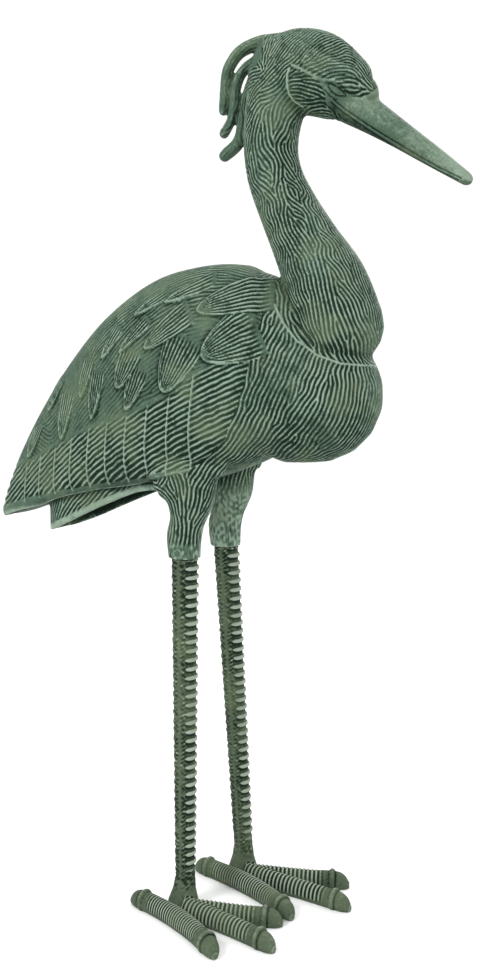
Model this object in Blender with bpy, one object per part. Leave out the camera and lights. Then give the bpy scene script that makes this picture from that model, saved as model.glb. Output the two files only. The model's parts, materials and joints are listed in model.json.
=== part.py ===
"""A heron garden statue in cast metal with a verdigris finish, standing on its own two feet.

It is five pieces: one body casting with the neck, head, crest, folded wings, tail and thighs, two
cast legs that are each one with their foot, and two round pins that hold the legs in the thighs.
The bird faces +X, its left side is +Y, and it stands on z = 0, with the origin on the ground in
the middle of its length and width. Sizes are in metres. The tables below are drawn from a point on
the ground beside the right foot, and the whole bird is moved to the origin at the end.
"""

import math

import bmesh
import bpy
import numpy as np
from mathutils import Matrix, Vector

# The bird's own outline. Each row is a station: forward, up, half depth, half width.
NECK = (
    (0.158, 0.632, 0.0425, 0.049),
    (0.141, 0.674, 0.0415, 0.045),
    (0.119, 0.714, 0.035, 0.036),
    (0.0985, 0.752, 0.0305, 0.031),
    (0.0835, 0.786, 0.0285, 0.028),
    (0.079, 0.818, 0.0285, 0.027),
    (0.083, 0.850, 0.031, 0.028),
    (0.092, 0.880, 0.036, 0.030),
)
HEAD = (
    (0.094, 0.886, 0.0395, 0.029),
    (0.110, 0.886, 0.041, 0.033),
    (0.130, 0.8805, 0.0405, 0.033),
    (0.154, 0.868, 0.035, 0.029),
    (0.167, 0.862, 0.0285, 0.024),
    (0.1755, 0.856, 0.0185, 0.017),
)
BEAK = (
    (0.160, 0.852, 0.0205, 0.019),
    (0.186, 0.8345, 0.0165, 0.0165),
    (0.216, 0.8135, 0.0130, 0.0135),
    (0.251, 0.7885, 0.0098, 0.0100),
    (0.282, 0.766, 0.0064, 0.0068),
)
BREAST = (
    (0.109, 0.5565, 0.067, 0.056),
    (0.131, 0.5615, 0.070, 0.058),
)
PLUMES = (
    ((0.090, 0.9125, 0.0155, 0.010), (0.066, 0.9190, 0.0082, 0.0080), (0.044, 0.9140, 0.0066, 0.0072),
     (0.030, 0.898, 0.0062, 0.0068), (0.0265, 0.878, 0.0058, 0.0064), (0.0245, 0.857, 0.0054, 0.0060)),
    ((0.086, 0.898, 0.012, 0.010), (0.062, 0.902, 0.0058, 0.0076), (0.045, 0.892, 0.0054, 0.0070),
     (0.038, 0.873, 0.0052, 0.0066), (0.035, 0.850, 0.0050, 0.0062), (0.025, 0.834, 0.0056, 0.0060)),
    ((0.086, 0.882, 0.013, 0.011), (0.066, 0.890, 0.0074, 0.0088), (0.054, 0.872, 0.0066, 0.0076),
     (0.048, 0.848, 0.0062, 0.0070), (0.043, 0.825, 0.0072, 0.0066), (0.026, 0.8115, 0.0070, 0.0062)),
)
THIGH = (
    (0.008, 0.502, 0.046, 0.014),
    (0.004, 0.476, 0.041, 0.0215),
    (0.0085, 0.452, 0.0275, 0.0235),
    (0.0055, 0.430, 0.0190, 0.0192),
    (0.0010, 0.410, 0.0190, 0.0172),
)
# The trunk's stations: forward, back line, widest level, belly line, half width.
TRUNK = (
    (-0.272, 0.420, 0.418, 0.415, 0.003),
    (-0.260, 0.450, 0.424, 0.415, 0.011),
    (-0.236, 0.495, 0.434, 0.420, 0.021),
    (-0.205, 0.543, 0.448, 0.430, 0.031),
    (-0.161, 0.598, 0.470, 0.438, 0.045),
    (-0.110, 0.647, 0.494, 0.449, 0.058),
    (-0.050, 0.682, 0.520, 0.458, 0.069),
    (0.010, 0.694, 0.546, 0.469, 0.074),
    (0.055, 0.692, 0.560, 0.484, 0.074),
    (0.090, 0.682, 0.570, 0.499, 0.068),
    (0.125, 0.652, 0.570, 0.507, 0.056),
    (0.158, 0.622, 0.568, 0.522, 0.040),
    (0.180, 0.600, 0.568, 0.545, 0.018),
)
# The tail below the wing tips: forward, top, rim, half width.
TAIL = (
    (-0.199, 0.440, 0.401, 0.012),
    (-0.188, 0.450, 0.403, 0.025),
    (-0.160, 0.462, 0.414, 0.037),
    (-0.110, 0.480, 0.436, 0.044),
    (-0.060, 0.500, 0.455, 0.047),
    (-0.030, 0.505, 0.459, 0.048),
)
TRUNK_ROUNDNESS = 2.15
BELLY_ROUNDNESS = 2.7
TAIL_WALL = 0.006
TAIL_HOLLOW_HEIGHT = 0.030
TAIL_CORNER_SHARE = 0.25
TAIL_TOP_SHARE = 0.7
TAIL_LEAST_HALF_WIDTH = 0.002
TAIL_END_RINGS = 3

# Carving of the body, in the side view as forward and up. It fades where the skin turns from the
# side to the top or the front, between two shares of sideways facing.
SIDE_FADE = (0.15, 0.45)
WING_EDGE = ((-0.276, 0.412), (-0.218, 0.429), (-0.166, 0.443), (-0.105, 0.457), (-0.039, 0.469),
             (0.034, 0.487), (0.076, 0.508))
# The wing's front line, as up and forward, and how gently it fades into the breast.
WING_FRONT = ((0.480, 0.012), (0.499, 0.038), (0.517, 0.059), (0.551, 0.075), (0.582, 0.084),
              (0.606, 0.089), (0.637, 0.094), (0.664, 0.092), (0.678, 0.084), (0.700, 0.060))
WING_FRONT_FADE = 0.014
WING_THICKNESS = 0.0045
EDGE_SOFTNESS = 0.003
FEATHER_RISE = 0.0032
FEATHER_SHOULDER = 2.4
FEATHER_SLOPE = 0.7
# The leaf-shaped feathers: tip forward and up, heading in degrees, length, half width.
FEATHERS = (
    (-0.149, 0.510, 267, 0.062, 0.0105),
    (-0.101, 0.536, 266, 0.056, 0.0095),
    (-0.055, 0.543, 251, 0.055, 0.0095),
    (-0.005, 0.564, 248, 0.066, 0.0165),
    (-0.120, 0.557, 269, 0.046, 0.0080),
    (-0.070, 0.572, 252, 0.045, 0.0085),
    (-0.095, 0.598, 243, 0.041, 0.0075),
    (-0.034, 0.609, 215, 0.065, 0.0115),
    (-0.069, 0.604, 222, 0.049, 0.0070),
    (-0.017, 0.655, 203, 0.050, 0.0070),
    (-0.053, 0.638, 214, 0.043, 0.0070),
    (0.037, 0.597, 205, 0.060, 0.0250),
    (0.028, 0.646, 190, 0.073, 0.0130),
)
SHAFT_COUNT = 9
SHAFT_FIRST = -0.214
SHAFT_LAST = 0.022
SHAFT_LEAN = 0.20
SHAFT_WIDTH = 0.0030
SHAFT_RISE = 0.0020
SHAFT_ZONE = (0.008, 0.090)
SHAFT_FADE = 0.004
BROW = ((0.136, 0.886), (0.176, 0.864))
BROW_RISE = 0.0024
BROW_WIDTH = 0.012
EYE = (0.160, 0.858)
EYE_RADIUS = 0.0050
EYE_RISE = 0.0022
MOUTH = ((0.152, 0.846), (0.205, 0.813), (0.279, 0.7655))
MOUTH_DEPTH = 0.0013
MOUTH_WIDTH = 0.0022

# Legs, feet and pins.
LEG_JOINT_Z = 0.389
LEG_TOP_RADIUS = 0.0147
LEG_LOW_RADIUS = 0.0116
LEG_LOW_Z = 0.048
COLLAR_LIP = 0.0015
ANKLE_RADIUS = 0.0108
ANKLE_Z = 0.034
FOOT_SPREAD_RADIUS = 0.0165
FOOT_SPREAD_Z = 0.012
FOOT_WAIST = 0.001
SOLE_CUT = 0.003
FOOT_LEAN = (0.004, -0.0145)
SCUTE_COUNT = 34
SCUTE_RISE = 0.0014
TENON_LENGTH = 0.013
TENON_RADIUS = 0.0105
# The tenon's shoulder is all but square to the leg.
TENON_STEP = 1e-6
PIN_RADIUS = 0.0046
PIN_ABOVE_JOINT = 0.0068
PIN_DEPTH_IN_TENON = 0.005
PIN_HEAD_RISE = 0.0010
# The low dome of a pin's head: share of its radius, share of its rise.
DOME_STEPS = ((0.35, 1.0), (0.75, 0.65))
TOUCHING_GAP = 0.0003
THIGH_TRIM_DEPTH = 0.03
# How far a cutter runs past the surface that it opens.
CUT_BEYOND = 0.02
TOE_HALF_WIDTH = 0.0104
TOE_HALF_HEIGHT = 0.0116
TOE_LEVEL = 0.0088
TOE_TIP_SHARE = 0.90
TOE_RING_PITCH = 0.0082
TOE_RING_RISE = 0.0011
# Where a ring's groove and its crest lie along its pitch.
TOE_GROOVE_SHARE = 0.15
TOE_CREST_SHARE = 0.65
NAIL_LENGTH = 0.023
# The nail's outline behind its cuff: share of its length, share of the toe's end thickness.
NAIL_SHOULDER = (0.72, 0.90)
NAIL_POINT_SHARE = 0.42
# How much of the height that a toe loses at its point comes off its top.
TIP_SINK = 0.6
CUFF_RISE = 0.0020
CUFF_LENGTH = 0.007
# Each leg: where it meets its thigh and where its ankle stands, as forward and across. Then its
# toes: where each starts from the ankle, its heading there and at its end in degrees, its length
# and whether it has a nail at both ends, as the curve of the hind toe and a front toe has.
RIGHT_LEG = {
    "top": (0.002, -0.048),
    "ankle": (0.000, -0.048),
    "toes": (((-0.056, -0.021), -10, -37, 0.148, True), ((0.012, -0.021), -5, -17, 0.117, False),
             ((0.010, -0.020), 14, 15, 0.108, False)),
}
LEFT_LEG = {
    "top": (0.006, 0.0415),
    "ankle": (0.0265, 0.049),
    "toes": (((-0.054, -0.0215), -8, -33, 0.158, True), ((0.012, -0.019), -3, -8, 0.131, False),
             ((0.010, -0.018), 15, 19, 0.119, False)),
}

# Mesh fineness.
BODY_VOXEL = 0.0022
BODY_TRIANGLES = 3450
BODY_SIDES = 40
TRUNK_STATIONS = 90
LIMB_STATIONS = 36
BREAST_STATIONS = 8
TAIL_STATIONS = 24
CAP_ANGLES = (80, 62, 42, 22)
SKIN_SOFTENING = 0.5
SKIN_SOFTENING_ROUNDS = 3
PLUME_SIDES = 16
LEG_SIDES = 9
TOE_SIDES = 7
ROUND_SIDES = 20


def clear_scene():
    for obj in list(bpy.data.objects):
        bpy.data.objects.remove(obj, do_unlink=True)


def metal(name, colour, roughness, metallic):
    material = bpy.data.materials.new(name)
    material.use_nodes = True
    shader = material.node_tree.nodes["Principled BSDF"]
    shader.inputs["Base Color"].default_value = (*colour, 1.0)
    shader.inputs["Roughness"].default_value = roughness
    shader.inputs["Metallic"].default_value = metallic
    return material


def add_object(name, bm, material=None):
    """Make an object of a bmesh whose faces are turned outward first."""
    bmesh.ops.recalc_face_normals(bm, faces=bm.faces)
    mesh = bpy.data.meshes.new(name)
    bm.to_mesh(mesh)
    bm.free()
    obj = bpy.data.objects.new(name, mesh)
    bpy.context.scene.collection.objects.link(obj)
    if material:
        mesh.materials.append(material)
    return obj


def as_cutter(obj):
    obj.hide_render = True
    obj.display_type = "WIRE"
    return obj


def boolean(obj, other, operation):
    modifier = obj.modifiers.new(other.name, "BOOLEAN")
    modifier.operation = operation
    modifier.solver = "EXACT"
    modifier.object = other


def bake(obj):
    """Give the object the mesh that its modifiers make, and drop them."""
    bpy.context.view_layer.update()
    graph = bpy.context.evaluated_depsgraph_get()
    mesh = bpy.data.meshes.new_from_object(obj.evaluated_get(graph))
    obj.modifiers.clear()
    obj.data = mesh


def smooth_rows(rows, count):
    """Read count rows from the smooth curve that passes through the given rows."""
    rows = np.asarray(rows, float)
    last = len(rows) - 1
    place = np.linspace(0, last, count)
    start = np.minimum(place.astype(int), last - 1)
    t = (place - start)[:, None]

    def row(index):
        return rows[np.clip(index, 0, last)]

    a, b, c, d = row(start - 1), row(start), row(start + 1), row(start + 2)
    return 0.5 * (2 * b + (c - a) * t + (2 * a - 5 * b + 4 * c - d) * t**2
                  + (3 * b - a - 3 * c + d) * t**3)


def loft(name, rings, material=None):
    """Skin a list of rings of equal point count and close both ends."""
    bm = bmesh.new()
    loops = [[bm.verts.new(point) for point in ring] for ring in rings]
    sides = len(loops[0])
    for low, high in zip(loops[:-1], loops[1:]):
        for i in range(sides):
            j = (i + 1) % sides
            bm.faces.new((low[i], low[j], high[j], high[i]))
    bm.faces.new(loops[0][::-1])
    bm.faces.new(loops[-1])
    return add_object(name, bm, material)


def limb(name, rows, y=0.0, stations=LIMB_STATIONS, sides=BODY_SIDES, round_end=True):
    """A round-ended tube through stations of forward, up, half depth and half width."""
    rows = smooth_rows(rows, stations)
    centres = np.stack([rows[:, 0], np.full(stations, y), rows[:, 1]], axis=1)
    along = np.gradient(centres, axis=0)
    along /= np.linalg.norm(along, axis=1, keepdims=True)
    angle = np.linspace(0, 2 * math.pi, sides, endpoint=False)
    across = np.array([0.0, 1.0, 0.0])

    def ring(index, shift=0.0, share=1.0):
        depth_way = np.cross(across, along[index])
        centre = centres[index] + along[index] * shift * rows[index, 2]
        depth = np.outer(np.cos(angle), depth_way) * rows[index, 2] * share
        width = np.outer(np.sin(angle), across) * rows[index, 3] * share
        return centre + depth + width

    cap = [math.radians(step) for step in CAP_ANGLES]
    rings = [ring(0, -math.sin(a), math.cos(a)) for a in cap]
    rings += [ring(i) for i in range(stations)]
    if round_end:
        rings += [ring(-1, math.sin(a), math.cos(a)) for a in reversed(cap)]
    return loft(name, rings)


def trunk(name):
    """The egg of the body with its folded wings, as upright rings from the tail to the breast."""
    angle = np.linspace(0, 2 * math.pi, BODY_SIDES * 2, endpoint=False)
    power = 2 / np.where(np.cos(angle) > 0, TRUNK_ROUNDNESS, BELLY_ROUNDNESS)
    across = np.sign(np.sin(angle)) * np.abs(np.sin(angle)) ** power
    up = np.sign(np.cos(angle)) * np.abs(np.cos(angle)) ** power
    rings = []
    for x, top, middle, bottom, width in smooth_rows(TRUNK, TRUNK_STATIONS):
        height = np.where(up > 0, middle + up * (top - middle), middle + up * (middle - bottom))
        rings.append(np.stack([np.full_like(angle, x), across * width, height], axis=1))
    return loft(name, rings)


def tail_block(name, inset=0.0, drop=0.0, height=None):
    """The tail's shell outside, or with an inset the hollow inside it, open below."""
    rings = []
    for x, top, rim, width in smooth_rows(TAIL, TAIL_STATIONS):
        ceiling = top if height is None else rim + height
        half = max(width - inset, TAIL_LEAST_HALF_WIDTH)
        shoulder = ceiling - (ceiling - rim) * TAIL_CORNER_SHARE
        rings.append([
            (x, -half, rim - drop), (x, half, rim - drop),
            (x, half, shoulder), (x, half * TAIL_TOP_SHARE, ceiling),
            (x, -half * TAIL_TOP_SHARE, ceiling), (x, -half, shoulder),
        ])
    if inset:
        rings = rings[TAIL_END_RINGS:-TAIL_END_RINGS]
    return loft(name, rings)


def between(value, low, high):
    """0 below low and 1 above high, smooth in between."""
    t = np.clip((value - low) / (high - low), 0, 1)
    return t * t * (3 - 2 * t)


def line_distance(x, z, points):
    """Distance in the side view to a broken line."""
    best = np.full_like(x, 1e9)
    for (x0, z0), (x1, z1) in zip(points[:-1], points[1:]):
        dx, dz = x1 - x0, z1 - z0
        t = np.clip(((x - x0) * dx + (z - z0) * dz) / (dx * dx + dz * dz), 0, 1)
        best = np.minimum(best, np.hypot(x - x0 - t * dx, z - z0 - t * dz))
    return best


def feather(x, z, tip_x, tip_z, heading, length, half_width):
    """Height of a leaf-shaped feather that is proudest at its tip and sinks in at its root."""
    c, s = math.cos(math.radians(heading)), math.sin(math.radians(heading))
    back = -((x - tip_x) * c + (z - tip_z) * s)
    across = (x - tip_x) * s - (z - tip_z) * c
    share = np.clip(back / length, 0, 1)
    swell = 1 - (1 - np.minimum(share * FEATHER_SHOULDER, 1)) ** 2
    margin = half_width * np.sqrt(swell) - np.abs(across)
    inside = between(margin, -EDGE_SOFTNESS / 2, EDGE_SOFTNESS / 2) * (back > 0) * (share < 1)
    return inside * FEATHER_RISE * (1 - share) ** FEATHER_SLOPE


def carving(points, normals):
    """How far each point of the body moves out along its normal."""
    x, z = points[:, 0], points[:, 2]
    side = between(np.abs(normals[:, 1]), *SIDE_FADE)
    edge_x, edge_z = np.transpose(WING_EDGE)
    front_z, front_x = np.transpose(WING_FRONT)
    above_edge = z - np.interp(x, edge_x, edge_z)
    behind_front = np.interp(z, front_z, front_x) - x
    wing = between(above_edge, 0, EDGE_SOFTNESS) * between(behind_front, 0, WING_FRONT_FADE)
    wing *= z < NECK[2][1]
    height = wing * WING_THICKNESS

    coverts = np.zeros_like(x)
    for row in FEATHERS:
        coverts = np.maximum(coverts, feather(x, z, *row))
    height += coverts * side

    shafts = np.zeros_like(x)
    for place in np.linspace(SHAFT_FIRST, SHAFT_LAST, SHAFT_COUNT):
        line = place + above_edge * SHAFT_LEAN
        shafts = np.maximum(shafts, 1 - between(np.abs(x - line), 0, SHAFT_WIDTH))
    low, high = SHAFT_ZONE
    band = between(above_edge, low - SHAFT_FADE, low) * (1 - between(above_edge, high - SHAFT_FADE, high))
    height += shafts * band * wing * SHAFT_RISE * side * (coverts < FEATHER_RISE / 4)

    brow = 1 - between(line_distance(x, z, BROW), BROW_WIDTH / 2, BROW_WIDTH)
    height += brow * BROW_RISE * side
    eye = 1 - between(np.hypot(x - EYE[0], z - EYE[1]), EYE_RADIUS / 2, EYE_RADIUS)
    height += eye * EYE_RISE * side
    mouth = 1 - between(line_distance(x, z, MOUTH), 0, MOUTH_WIDTH)
    height -= mouth * MOUTH_DEPTH * side
    return height


def leg_point(leg, z):
    """The leg's centre line at a height, as a vector."""
    share = z / LEG_JOINT_Z
    x = leg["ankle"][0] + (leg["top"][0] - leg["ankle"][0]) * share
    y = leg["ankle"][1] + (leg["top"][1] - leg["ankle"][1]) * share
    return Vector((x, y, z))


def outward(leg):
    """The way that the leg's outer side faces: -1 on the right leg and +1 on the left."""
    return math.copysign(1.0, leg["top"][1])


def rod(name, centre, axis, radius, length, material=None, dome=0.0):
    """A round rod that starts at centre and runs along axis, with a low dome on its start."""
    turn = Vector((0, 0, 1)).rotation_difference(Vector(axis)).to_matrix().to_4x4()
    place = Matrix.Translation(centre) @ turn
    profile = [(radius * share, -dome * height) for share, height in DOME_STEPS] if dome else []
    profile += [(radius, 0.0), (radius, length)]
    angle = np.linspace(0, 2 * math.pi, ROUND_SIDES, endpoint=False)
    rings = []
    for r, along in profile:
        rings.append([place @ Vector((r * math.cos(a), r * math.sin(a), along)) for a in angle])
    return loft(name, rings, material)


def add_thighs(parts):
    """Both thighs, each running down to its joint with the leg."""
    for side, leg in (("right", RIGHT_LEG), ("left", LEFT_LEG)):
        joint_x, joint_y = leg["top"]
        shift = joint_x - RIGHT_LEG["top"][0]
        top_z = THIGH[0][1]
        rows = []
        for x, z, depth, width in THIGH:
            rows.append((x + shift * (top_z - z) / (top_z - LEG_JOINT_Z), z, depth, width))
        end_radius = LEG_TOP_RADIUS + COLLAR_LIP
        rows.append((joint_x, LEG_JOINT_Z - end_radius / 2, end_radius, end_radius))
        parts.append(limb(f"{side}_thigh", rows, y=joint_y, round_end=False))


def body(material):
    """The body casting: volumes joined into one skin, carved, thinned and cut for the legs."""
    parts = [
        trunk("trunk"),
        tail_block("tail"),
        limb("breast", BREAST, stations=BREAST_STATIONS),
        limb("neck", NECK),
        limb("head", HEAD),
        limb("beak", BEAK),
    ]
    parts += [limb(f"plume_{i + 1}", rows, sides=PLUME_SIDES) for i, rows in enumerate(PLUMES)]
    add_thighs(parts)
    joined = bmesh.new()
    for part in parts:
        joined.from_mesh(part.data)
        bpy.data.objects.remove(part, do_unlink=True)
    obj = add_object("body", joined)
    skin = obj.modifiers.new("skin", "REMESH")
    skin.mode = "VOXEL"
    skin.voxel_size = BODY_VOXEL
    soften = obj.modifiers.new("soften", "SMOOTH")
    soften.factor = SKIN_SOFTENING
    soften.iterations = SKIN_SOFTENING_ROUNDS
    bake(obj)

    mesh = obj.data
    points = np.empty(len(mesh.vertices) * 3)
    normals = np.empty_like(points)
    mesh.vertices.foreach_get("co", points)
    mesh.vertex_normals.foreach_get("vector", normals)
    points, normals = points.reshape(-1, 3), normals.reshape(-1, 3)
    points = points + normals * carving(points, normals)[:, None]
    mesh.vertices.foreach_set("co", points.ravel())
    mesh.update()

    thin = obj.modifiers.new("thin", "DECIMATE")
    thin.ratio = BODY_TRIANGLES / (2 * len(mesh.polygons))
    bake(obj)
    obj.data.materials.clear()
    obj.data.materials.append(material)

    hollow = as_cutter(tail_block("tail_hollow", TAIL_WALL, CUT_BEYOND, TAIL_HOLLOW_HEIGHT))
    boolean(obj, hollow, "DIFFERENCE")
    for side, leg in (("right", RIGHT_LEG), ("left", LEFT_LEG)):
        joint = leg_point(leg, LEG_JOINT_Z)
        up = (leg_point(leg, 1.0) - leg_point(leg, 0.0)).normalized()
        trim = rod(f"{side}_trim", joint, (0, 0, -1), LEG_TOP_RADIUS * 2, THIGH_TRIM_DEPTH)
        socket = rod(f"{side}_socket", joint - up * CUT_BEYOND, up, TENON_RADIUS + TOUCHING_GAP,
                     CUT_BEYOND + TENON_LENGTH + TOUCHING_GAP)
        bore = pin_rod(f"{side}_bore", leg, TOUCHING_GAP, CUT_BEYOND)
        for cutter in (trim, socket, bore):
            boolean(obj, as_cutter(cutter), "DIFFERENCE")
    return obj


def pin_rod(name, leg, clearance, start_beyond, material=None, dome=0.0):
    """The pin, or with a clearance the bore for it, run in from the thigh's outer side."""
    centre = leg_point(leg, LEG_JOINT_Z + PIN_ABOVE_JOINT)
    way = outward(leg)
    start = LEG_TOP_RADIUS + COLLAR_LIP + start_beyond
    end = TENON_RADIUS - PIN_DEPTH_IN_TENON - clearance
    head = centre + Vector((0, way * start, 0))
    return rod(name, head, (0, -way, 0), PIN_RADIUS + clearance, start - end, material, dome)


def leg_profile():
    """Heights and radii up the leg: a flared ankle, the ringed shank and the plain top."""
    rows = [
        (-SOLE_CUT, FOOT_SPREAD_RADIUS),
        (FOOT_SPREAD_Z, FOOT_SPREAD_RADIUS),
        ((FOOT_SPREAD_Z + ANKLE_Z) / 2, (FOOT_SPREAD_RADIUS + ANKLE_RADIUS) / 2 - FOOT_WAIST),
        (ANKLE_Z, ANKLE_RADIUS),
    ]
    top = LEG_JOINT_Z - TOUCHING_GAP
    pitch = (top - LEG_LOW_Z) / (SCUTE_COUNT + 0.5)
    for i in range(SCUTE_COUNT):
        share = i / (SCUTE_COUNT - 1)
        radius = LEG_LOW_RADIUS + (LEG_TOP_RADIUS - LEG_LOW_RADIUS) * share
        z = LEG_LOW_Z + pitch * i
        rows.append((z, radius - SCUTE_RISE))
        rows.append((z + pitch * 0.5, radius))
    rows.append((top, LEG_TOP_RADIUS))
    return rows


def leg_shaft(name, leg, material):
    """The ringed leg with the narrower tenon that enters the thigh."""
    rows = leg_profile()
    top = LEG_JOINT_Z - TOUCHING_GAP
    rows.append((top + TENON_STEP, TENON_RADIUS))
    rows.append((top + TENON_LENGTH, TENON_RADIUS))
    angle = np.linspace(0, 2 * math.pi, LEG_SIDES, endpoint=False)
    rings = []
    for z, radius in rows:
        lean = min(1.0, max(0.0, 1 - z / ANKLE_Z))
        centre = leg_point(leg, z) + Vector((*FOOT_LEAN, 0)) * lean
        rings.append([centre + Vector((radius * math.cos(a), radius * math.sin(a), 0)) for a in angle])
    return loft(name, rings, material)


def toe_sizes(length, both_ends):
    """Distances along a toe and the share of its full thickness there, from end to end."""
    first = NAIL_LENGTH if both_ends else 0.0
    last = length - NAIL_LENGTH
    count = round((last - first) / TOE_RING_PITCH)
    cuff_share = TOE_TIP_SHARE + CUFF_RISE / TOE_HALF_WIDTH
    shoulder, shoulder_share = NAIL_SHOULDER
    nail = ((0.0, TOE_TIP_SHARE), (CUFF_LENGTH / 2, cuff_share), (CUFF_LENGTH, TOE_TIP_SHARE),
            (NAIL_LENGTH * shoulder, TOE_TIP_SHARE * shoulder_share), (NAIL_LENGTH, NAIL_POINT_SHARE))
    stations = [(first - along, size) for along, size in reversed(nail)] if both_ends else []
    for i in range(count):
        place = first + (last - first) * i / count
        share = place / length
        size = 1 - (1 - TOE_TIP_SHARE) * (abs(share * 2 - 1) if both_ends else share)
        stations.append((place + TOE_RING_PITCH * TOE_GROOVE_SHARE, size - TOE_RING_RISE / TOE_HALF_WIDTH))
        stations.append((place + TOE_RING_PITCH * TOE_CREST_SHARE, size))
    return stations + [(last + along, size) for along, size in nail]


def toe(name, leg, start, heading, end_heading, length, both_ends):
    """One toe along a gentle curve: rings, cuff and nail, its lower side cut off by the ground."""
    angle = np.linspace(0, 2 * math.pi, TOE_SIDES, endpoint=False)
    ankle = leg_point(leg, 0)
    turn = math.radians(end_heading - heading) / length
    first = math.radians(heading)
    skins = []
    for along, size in toe_sizes(length, both_ends):
        here = first + turn * along
        x = (math.sin(here) - math.sin(first)) / turn
        y = (math.cos(first) - math.cos(here)) / turn
        level = TOE_LEVEL - (1 - size) * TOE_HALF_HEIGHT * TIP_SINK
        centre = ankle + Vector((start[0] + x, start[1] + y, level))
        side = Vector((-math.sin(here), math.cos(here), 0)) * TOE_HALF_WIDTH * size
        up = Vector((0, 0, TOE_HALF_HEIGHT * size))
        skins.append([centre + side * math.cos(a) + up * math.sin(a) for a in angle])
    return loft(name, skins)


def leg_with_foot(name, leg, material):
    """One cast leg: shaft and toes in one solid, cut flat at the ground and bored for its pin."""
    obj = leg_shaft(name, leg, material)
    for number, values in enumerate(leg["toes"], start=1):
        boolean(obj, as_cutter(toe(f"{name}_toe_{number}", leg, *values)), "UNION")
    ground = bmesh.new()
    bmesh.ops.create_cube(ground, size=1.0)
    slab = as_cutter(add_object(f"{name}_ground", ground))
    slab.location = (0, 0, -0.5)
    boolean(obj, slab, "DIFFERENCE")
    boolean(obj, as_cutter(pin_rod(f"{name}_pin_hole", leg, TOUCHING_GAP, 0.0)), "DIFFERENCE")
    return obj


def centre_on_ground(pieces):
    """Hang everything on one empty, placed so that the bird's box stands centred on the origin."""
    bpy.context.view_layer.update()
    graph = bpy.context.evaluated_depsgraph_get()
    corners = []
    for piece in pieces:
        mesh = piece.evaluated_get(graph).to_mesh()
        points = np.empty(len(mesh.vertices) * 3)
        mesh.vertices.foreach_get("co", points)
        corners += [points.reshape(-1, 3).min(axis=0), points.reshape(-1, 3).max(axis=0)]
    low, high = np.min(corners, axis=0), np.max(corners, axis=0)
    root = bpy.data.objects.new("heron", None)
    bpy.context.scene.collection.objects.link(root)
    for obj in bpy.data.objects:
        if obj is not root:
            obj.parent = root
    root.location = (-(low[0] + high[0]) / 2, -(low[1] + high[1]) / 2, -low[2])


def main():
    clear_scene()
    verdigris = metal("verdigris_body", (0.13, 0.20, 0.16), 0.62, 0.35)
    leg_verdigris = metal("verdigris_legs", (0.12, 0.19, 0.15), 0.60, 0.40)
    pin_verdigris = metal("verdigris_pins", (0.15, 0.22, 0.17), 0.55, 0.40)
    pieces = [body(verdigris)]
    for side, leg in (("right", RIGHT_LEG), ("left", LEFT_LEG)):
        pieces.append(leg_with_foot(f"{side}_leg", leg, leg_verdigris))
        pieces.append(pin_rod(f"{side}_leg_pin", leg, 0.0, 0.0, pin_verdigris, PIN_HEAD_RISE))
    centre_on_ground(pieces)


main()
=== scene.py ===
# %% [markdown]
# # A heron in cast metal with a verdigris finish
#
# The real statue is cast from a carved pattern: a smooth bird shape first, then feathers raised on
# it, then thousands of fine strands cut along the way the plumage lies. We work in that order. The
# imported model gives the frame: every piece made here stands exactly where its solid stands.

import json
import math

import bmesh
import bpy
import numpy as np
from mathutils import Matrix, Vector
from mathutils.bvhtree import BVHTree
from mathutils.kdtree import KDTree


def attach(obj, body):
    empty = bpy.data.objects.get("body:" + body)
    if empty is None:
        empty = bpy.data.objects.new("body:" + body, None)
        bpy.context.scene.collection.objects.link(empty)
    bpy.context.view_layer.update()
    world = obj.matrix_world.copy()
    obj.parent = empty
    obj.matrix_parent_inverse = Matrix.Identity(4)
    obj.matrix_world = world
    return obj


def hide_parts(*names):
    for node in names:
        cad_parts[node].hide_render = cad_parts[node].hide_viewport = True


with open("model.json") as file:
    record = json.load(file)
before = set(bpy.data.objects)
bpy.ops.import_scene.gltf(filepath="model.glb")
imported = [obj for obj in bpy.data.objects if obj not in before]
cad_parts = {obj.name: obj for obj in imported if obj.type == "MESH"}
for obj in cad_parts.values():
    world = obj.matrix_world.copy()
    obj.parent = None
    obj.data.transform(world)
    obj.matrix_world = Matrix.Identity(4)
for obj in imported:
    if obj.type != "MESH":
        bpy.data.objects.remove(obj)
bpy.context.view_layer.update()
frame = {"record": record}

# %% [markdown]
# ## One shift ties the drawing to the frame
#
# The bird is drawn from a point on the ground beside its right foot, because that is where the
# casting can be measured. The frame has its origin under the middle of the bird. The record tells
# where the right sole is, so the shift between the two comes from the record and not from a guess.

# %% Shift from the drawing to the frame
SOLE_IN_DRAWING = Vector((0.004, -0.0625, 0.0))
mounts = {mount["name"]: mount for mount in frame["record"]["mounts"]}
SHIFT = Vector(mounts["right_sole"]["pos_m"]) - SOLE_IN_DRAWING
print("shift", [round(value, 6) for value in SHIFT])

# %% [markdown]
# ## The camera
#
# The photograph looks at the bird's right side from a little in front and a little above its
# middle, from about a metre away. A long side of 962 pixels and a focal length of 1000 pixels
# give the lens. The same numbers later let us point at a place on the bird by its pixel.

# %% Camera at the photograph's angle
IMAGE = (477, 962)
FOCAL_PIXELS = 1000
AZIMUTH = math.radians(26)
LOOKING_DOWN = math.radians(5.94)
EYE_POINT = Vector((0.513, -0.966, 0.580))

camera_data = bpy.data.cameras.new("camera")
camera_data.sensor_width = 36
camera_data.lens = FOCAL_PIXELS * camera_data.sensor_width / max(IMAGE)
camera = bpy.data.objects.new("camera", camera_data)
camera.location = EYE_POINT + SHIFT
camera.rotation_euler = (math.radians(90) - LOOKING_DOWN, 0, AZIMUTH)
bpy.context.scene.collection.objects.link(camera)
bpy.context.scene.camera = camera
CAMERA_TURN = camera.rotation_euler.to_matrix()
print("lens", round(camera_data.lens, 2), "mm")


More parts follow.
